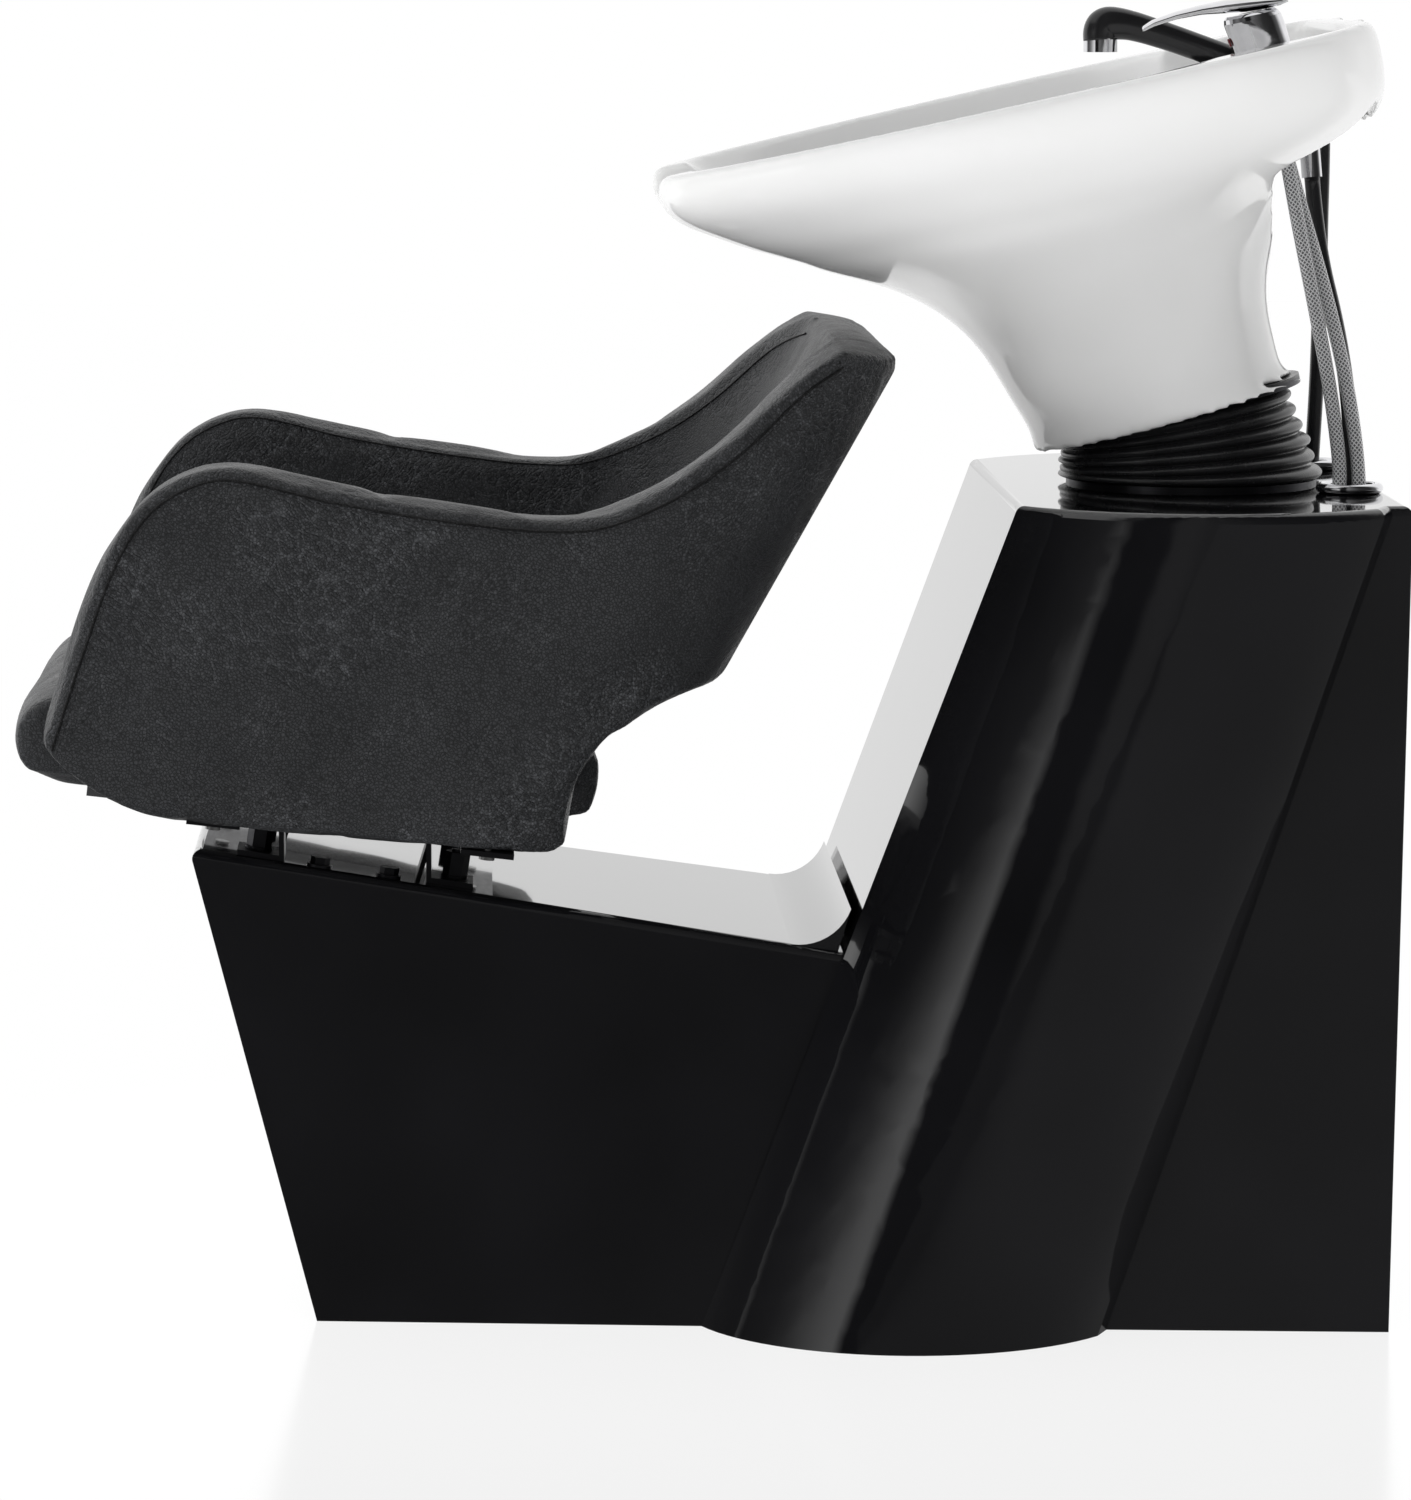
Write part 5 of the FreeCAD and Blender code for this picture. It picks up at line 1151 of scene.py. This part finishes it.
# %% Lever
LEVER_SIDE = -0.060
LEVER_RINGS = [
    (0.0425, 0.2905, 0.0010, 0.0060),
    (0.0440, 0.2910, 0.0020, 0.0080),
    (0.0520, 0.2935, 0.0026, 0.0095),
    (0.0700, 0.2955, 0.0030, 0.0120),
    (0.0900, 0.2955, 0.0038, 0.0150),
    (0.1080, 0.2940, 0.0052, 0.0178),
    (0.1240, 0.2922, 0.0058, 0.0190),
    (0.1400, 0.2905, 0.0050, 0.0185),
    (0.1510, 0.2893, 0.0036, 0.0160),
    (0.1570, 0.2885, 0.0016, 0.0100),
]


def make_lever():
    sides = 40
    places = np.linspace(0, len(LEVER_RINGS) - 1, 46)
    table = np.array(LEVER_RINGS)
    columns = [np.interp(places, range(len(LEVER_RINGS)), table[:, c]) for c in range(4)]
    rings, stations = [], []
    for u, w, thick, half in zip(*columns):
        turns = [2 * math.pi * k / sides for k in range(sides)]
        rings.append([tilted(u, LEVER_SIDE + half * math.cos(t), w + thick * math.sin(t)) for t in turns])
        stations.append(u)
    blade = skin_rings("lever_blade", rings, stations)
    soften(blade, 2)
    dress(blade, CHROME)
    take_place(blade, "tap_lever")
    return blade


print("lever", len(make_lever().data.polygons))

# %% [markdown]
# ## Floor, background and light
# The photograph has a white floor and a white background, with the object's soft reflection below it. The
# near sides of the pedestal mirror a dark room, while its tops mirror the white background, so what a mirror
# ray sees depends on where it goes: white behind the object, dark in front, and a lit wall on the left that
# makes the long streak on the leaning column. Tables of angles give a softer streak than a lamp would, so
# the lamps are hidden from mirror rays.

# %% Light of the room by angle
# Each stop is an angle round the room, from the camera to the left, and the brightness there.
ROOM_LIGHT = [(-math.pi, 1.0), (-2.0, 1.0), (-1.6, 0.12), (-1.2, 0.02), (-0.5, 0.03), (0.0, 0.1),
              (0.15, 0.14), (0.28, 0.13), (0.36, 0.01), (1.7, 0.01), (2.0, 1.0)]
LEFT_WALL = [(-math.pi, 0.0), (0.67, 0.0), (0.76, 0.9), (0.83, 0.85), (1.03, 0.52), (1.24, 0.25),
             (1.44, 0.12), (2.0, 0.0)]
LEFT_HIGH = [(-math.pi, 0.0), (0.8, 0.0), (1.1, 0.9), (2.2, 0.9)]
# Each wall, the two heights of a ray between which it changes, and its strength at both.
WALLS = [(LEFT_WALL, 0.115, 0.21, 1.0, 0.12), (LEFT_HIGH, 0.4, 0.56, 0.0, 1.0)]


def turned_ramp(tree, angle, stops):
    """A grey that depends on the way round the room, from a table of angles."""
    turn = add(tree, "ShaderNodeMapRange", From_Min=-math.pi, From_Max=math.pi, To_Min=0.0, To_Max=1.0)
    wire(tree, angle, turn.inputs["Value"])
    return ramp(tree, turn.outputs["Result"], [((a + math.pi) / (2 * math.pi), grey) for a, grey in stops])


def room_light(tree, ways):
    """How bright the room is to a mirror ray: dark by the camera, lit walls to its left, white behind."""
    signs = []
    for part in ("X", "Y"):
        sign = add(tree, "ShaderNodeMath", operation="MULTIPLY")
        wire(tree, ways.outputs[part], sign.inputs[0])
        sign.inputs[1].default_value = -1.0
        signs.append(sign.outputs["Value"])
    angle = add(tree, "ShaderNodeMath", operation="ARCTAN2")
    wire(tree, signs[0], angle.inputs[0])
    wire(tree, signs[1], angle.inputs[1])
    light = turned_ramp(tree, angle.outputs["Value"], ROOM_LIGHT)
    for stops, start, end, first, last in WALLS:
        height = add(tree, "ShaderNodeMapRange", From_Min=start, From_Max=end, To_Min=first, To_Max=last)
        wire(tree, ways.outputs["Z"], height.inputs["Value"])
        wall = add(tree, "ShaderNodeMath", operation="MULTIPLY")
        wire(tree, turned_ramp(tree, angle.outputs["Value"], stops), wall.inputs[0])
        wire(tree, height.outputs["Result"], wall.inputs[1])
        both = add(tree, "ShaderNodeMath", operation="MAXIMUM")
        wire(tree, light, both.inputs[0])
        wire(tree, wall.outputs["Value"], both.inputs[1])
        light = both.outputs["Value"]
    return light


# %% Floor
FLOOR_SIZE = 14.0
FLOOR_SHEEN = 0.13
FLOOR_SHADOW = 0.12


def mixed(tree, share, first, second):
    """A mix of two shaders by a socket or a fixed share."""
    node = tree.nodes.new("ShaderNodeMixShader")
    if isinstance(share, float):
        node.inputs["Fac"].default_value = share
    else:
        wire(tree, share, node.inputs["Fac"])
    wire(tree, first, node.inputs[1])
    wire(tree, second, node.inputs[2])
    return node.outputs["Shader"]


def floor_in_mirrors(tree, place):
    """The floor as polished faces see it: white behind the object, dim in front."""
    split = tree.nodes.new("ShaderNodeSeparateXYZ")
    wire(tree, place, split.inputs["Vector"])
    behind = add(tree, "ShaderNodeMapRange", From_Min=0.2, From_Max=0.9, To_Min=0.0, To_Max=1.0)
    wire(tree, split.outputs["Y"], behind.inputs["Value"])
    front = add(tree, "ShaderNodeMapRange", From_Min=-0.2, From_Max=0.35, To_Min=0.05, To_Max=0.13)
    wire(tree, split.outputs["X"], front.inputs["Value"])
    either = add(tree, "ShaderNodeMath", operation="MAXIMUM")
    wire(tree, behind.outputs["Result"], either.inputs[0])
    wire(tree, front.outputs["Result"], either.inputs[1])
    light = tree.nodes.new("ShaderNodeEmission")
    wire(tree, either.outputs["Value"], light.inputs["Strength"])
    return light.outputs["Emission"]


def floor_to_camera(tree, place, lit):
    """The floor as the camera sees it: white, with a blurred reflection, and a shadow close to the object."""
    white = add(tree, "ShaderNodeEmission", Strength=1.0)
    sheen = add(tree, "ShaderNodeBsdfGlossy", Roughness=0.16)
    sheen.inputs["Color"].default_value = (1.0, 1.0, 1.0, 1.0)
    polished = mixed(tree, FLOOR_SHEEN, white.outputs["Emission"], sheen.outputs["BSDF"])
    away = add(tree, "ShaderNodeVectorMath", operation="LENGTH")
    wire(tree, place, away.inputs[0])
    shade = add(tree, "ShaderNodeMapRange", From_Min=0.5, From_Max=1.0, To_Min=FLOOR_SHADOW, To_Max=0.0)
    wire(tree, away.outputs["Value"], shade.inputs["Value"])
    return mixed(tree, shade.outputs["Result"], polished, lit)


def make_floor():
    shape = bmesh.new()
    bmesh.ops.create_grid(shape, x_segments=1, y_segments=1, size=FLOOR_SIZE)
    floor = made("studio_floor", shape)
    material, tree, shader = new_material("studio_floor")
    shader.inputs["Base Color"].default_value = (0.85, 0.85, 0.85, 1.0)
    shader.inputs["Roughness"].default_value = 0.5
    shader.inputs["Emission Color"].default_value = (1.0, 1.0, 1.0, 1.0)
    shader.inputs["Emission Strength"].default_value = 0.6
    lit = shader.outputs["BSDF"]
    place = tree.nodes.new("ShaderNodeTexCoord").outputs["Object"]
    ray = tree.nodes.new("ShaderNodeLightPath")
    direct = mixed(tree, ray.outputs["Is Camera Ray"], lit, floor_to_camera(tree, place, lit))
    by_ray = mixed(tree, ray.outputs["Is Glossy Ray"], direct, floor_in_mirrors(tree, place))
    output = next(n for n in tree.nodes if n.type == "OUTPUT_MATERIAL")
    wire(tree, by_ray, output.inputs["Surface"])
    floor.data.materials.append(material)
    return floor


print("floor", make_floor().name)


# %% World
def make_world():
    """White to the camera; for the object it is bright behind and dim on the side of the camera."""
    world = bpy.data.worlds.new("studio_world")
    world.use_nodes = True
    tree = world.node_tree
    tree.nodes.clear()
    output = tree.nodes.new("ShaderNodeOutputWorld")
    coords = tree.nodes.new("ShaderNodeTexCoord")
    split = tree.nodes.new("ShaderNodeSeparateXYZ")
    wire(tree, coords.outputs["Generated"], split.inputs["Vector"])
    ray = tree.nodes.new("ShaderNodeLightPath")
    soft = add(tree, "ShaderNodeMapRange", From_Min=-0.5, From_Max=0.5, To_Min=0.62, To_Max=0.64)
    wire(tree, split.outputs["Y"], soft.inputs["Value"])
    lights = []
    for level in (room_light(tree, split), soft.outputs["Result"]):
        light = tree.nodes.new("ShaderNodeBackground")
        light.inputs["Color"].default_value = (1.0, 1.0, 1.0, 1.0)
        wire(tree, level, light.inputs["Strength"])
        lights.append(light.outputs["Background"])
    white = add(tree, "ShaderNodeBackground", Strength=1.0)
    white.inputs["Color"].default_value = (1.0, 1.0, 1.0, 1.0)
    by_ray = mixed(tree, ray.outputs["Is Glossy Ray"], lights[1], lights[0])
    direct = add(tree, "ShaderNodeMath", operation="MAXIMUM")
    wire(tree, ray.outputs["Is Camera Ray"], direct.inputs[0])
    wire(tree, ray.outputs["Is Transmission Ray"], direct.inputs[1])
    seen = mixed(tree, direct.outputs["Value"], by_ray, white.outputs["Background"])
    wire(tree, seen, output.inputs["Surface"])
    scene.world = world
    return world


print("world", make_world().name)

# %% Lamps
PANELS = [
    ("key_panel", (-2.6, -2.4, 3.0), (0.0, 0.0, 0.5), (1.3, 1.1), 8.0),
    ("low_front_panel", (0.2, -4.2, 0.5), (0.2, 0.0, 0.7), (2.6, 0.5), 20.0),
    ("left_panel", (-3.0, 0.5, 1.2), (-0.3, 0.0, 0.5), (1.4, 1.8), 22.0),
    ("near_left_panel", (-1.9, -0.9, 0.5), (-0.6, -0.1, 0.55), (0.6, 0.6), 9.0),
]


def softbox(name, place, target, size, power):
    """A soft panel of light that polished faces do not show."""
    data = bpy.data.lights.new(name, "AREA")
    data.shape = "RECTANGLE"
    data.size, data.size_y = size
    data.energy = power
    lamp = link(bpy.data.objects.new(name, data))
    lamp.location = place
    lamp.rotation_euler = (Vector(target) - Vector(place)).to_track_quat("-Z", "Y").to_euler()
    lamp.visible_glossy = False
    return lamp


for panel in PANELS:
    print("lamp", softbox(*panel).name)
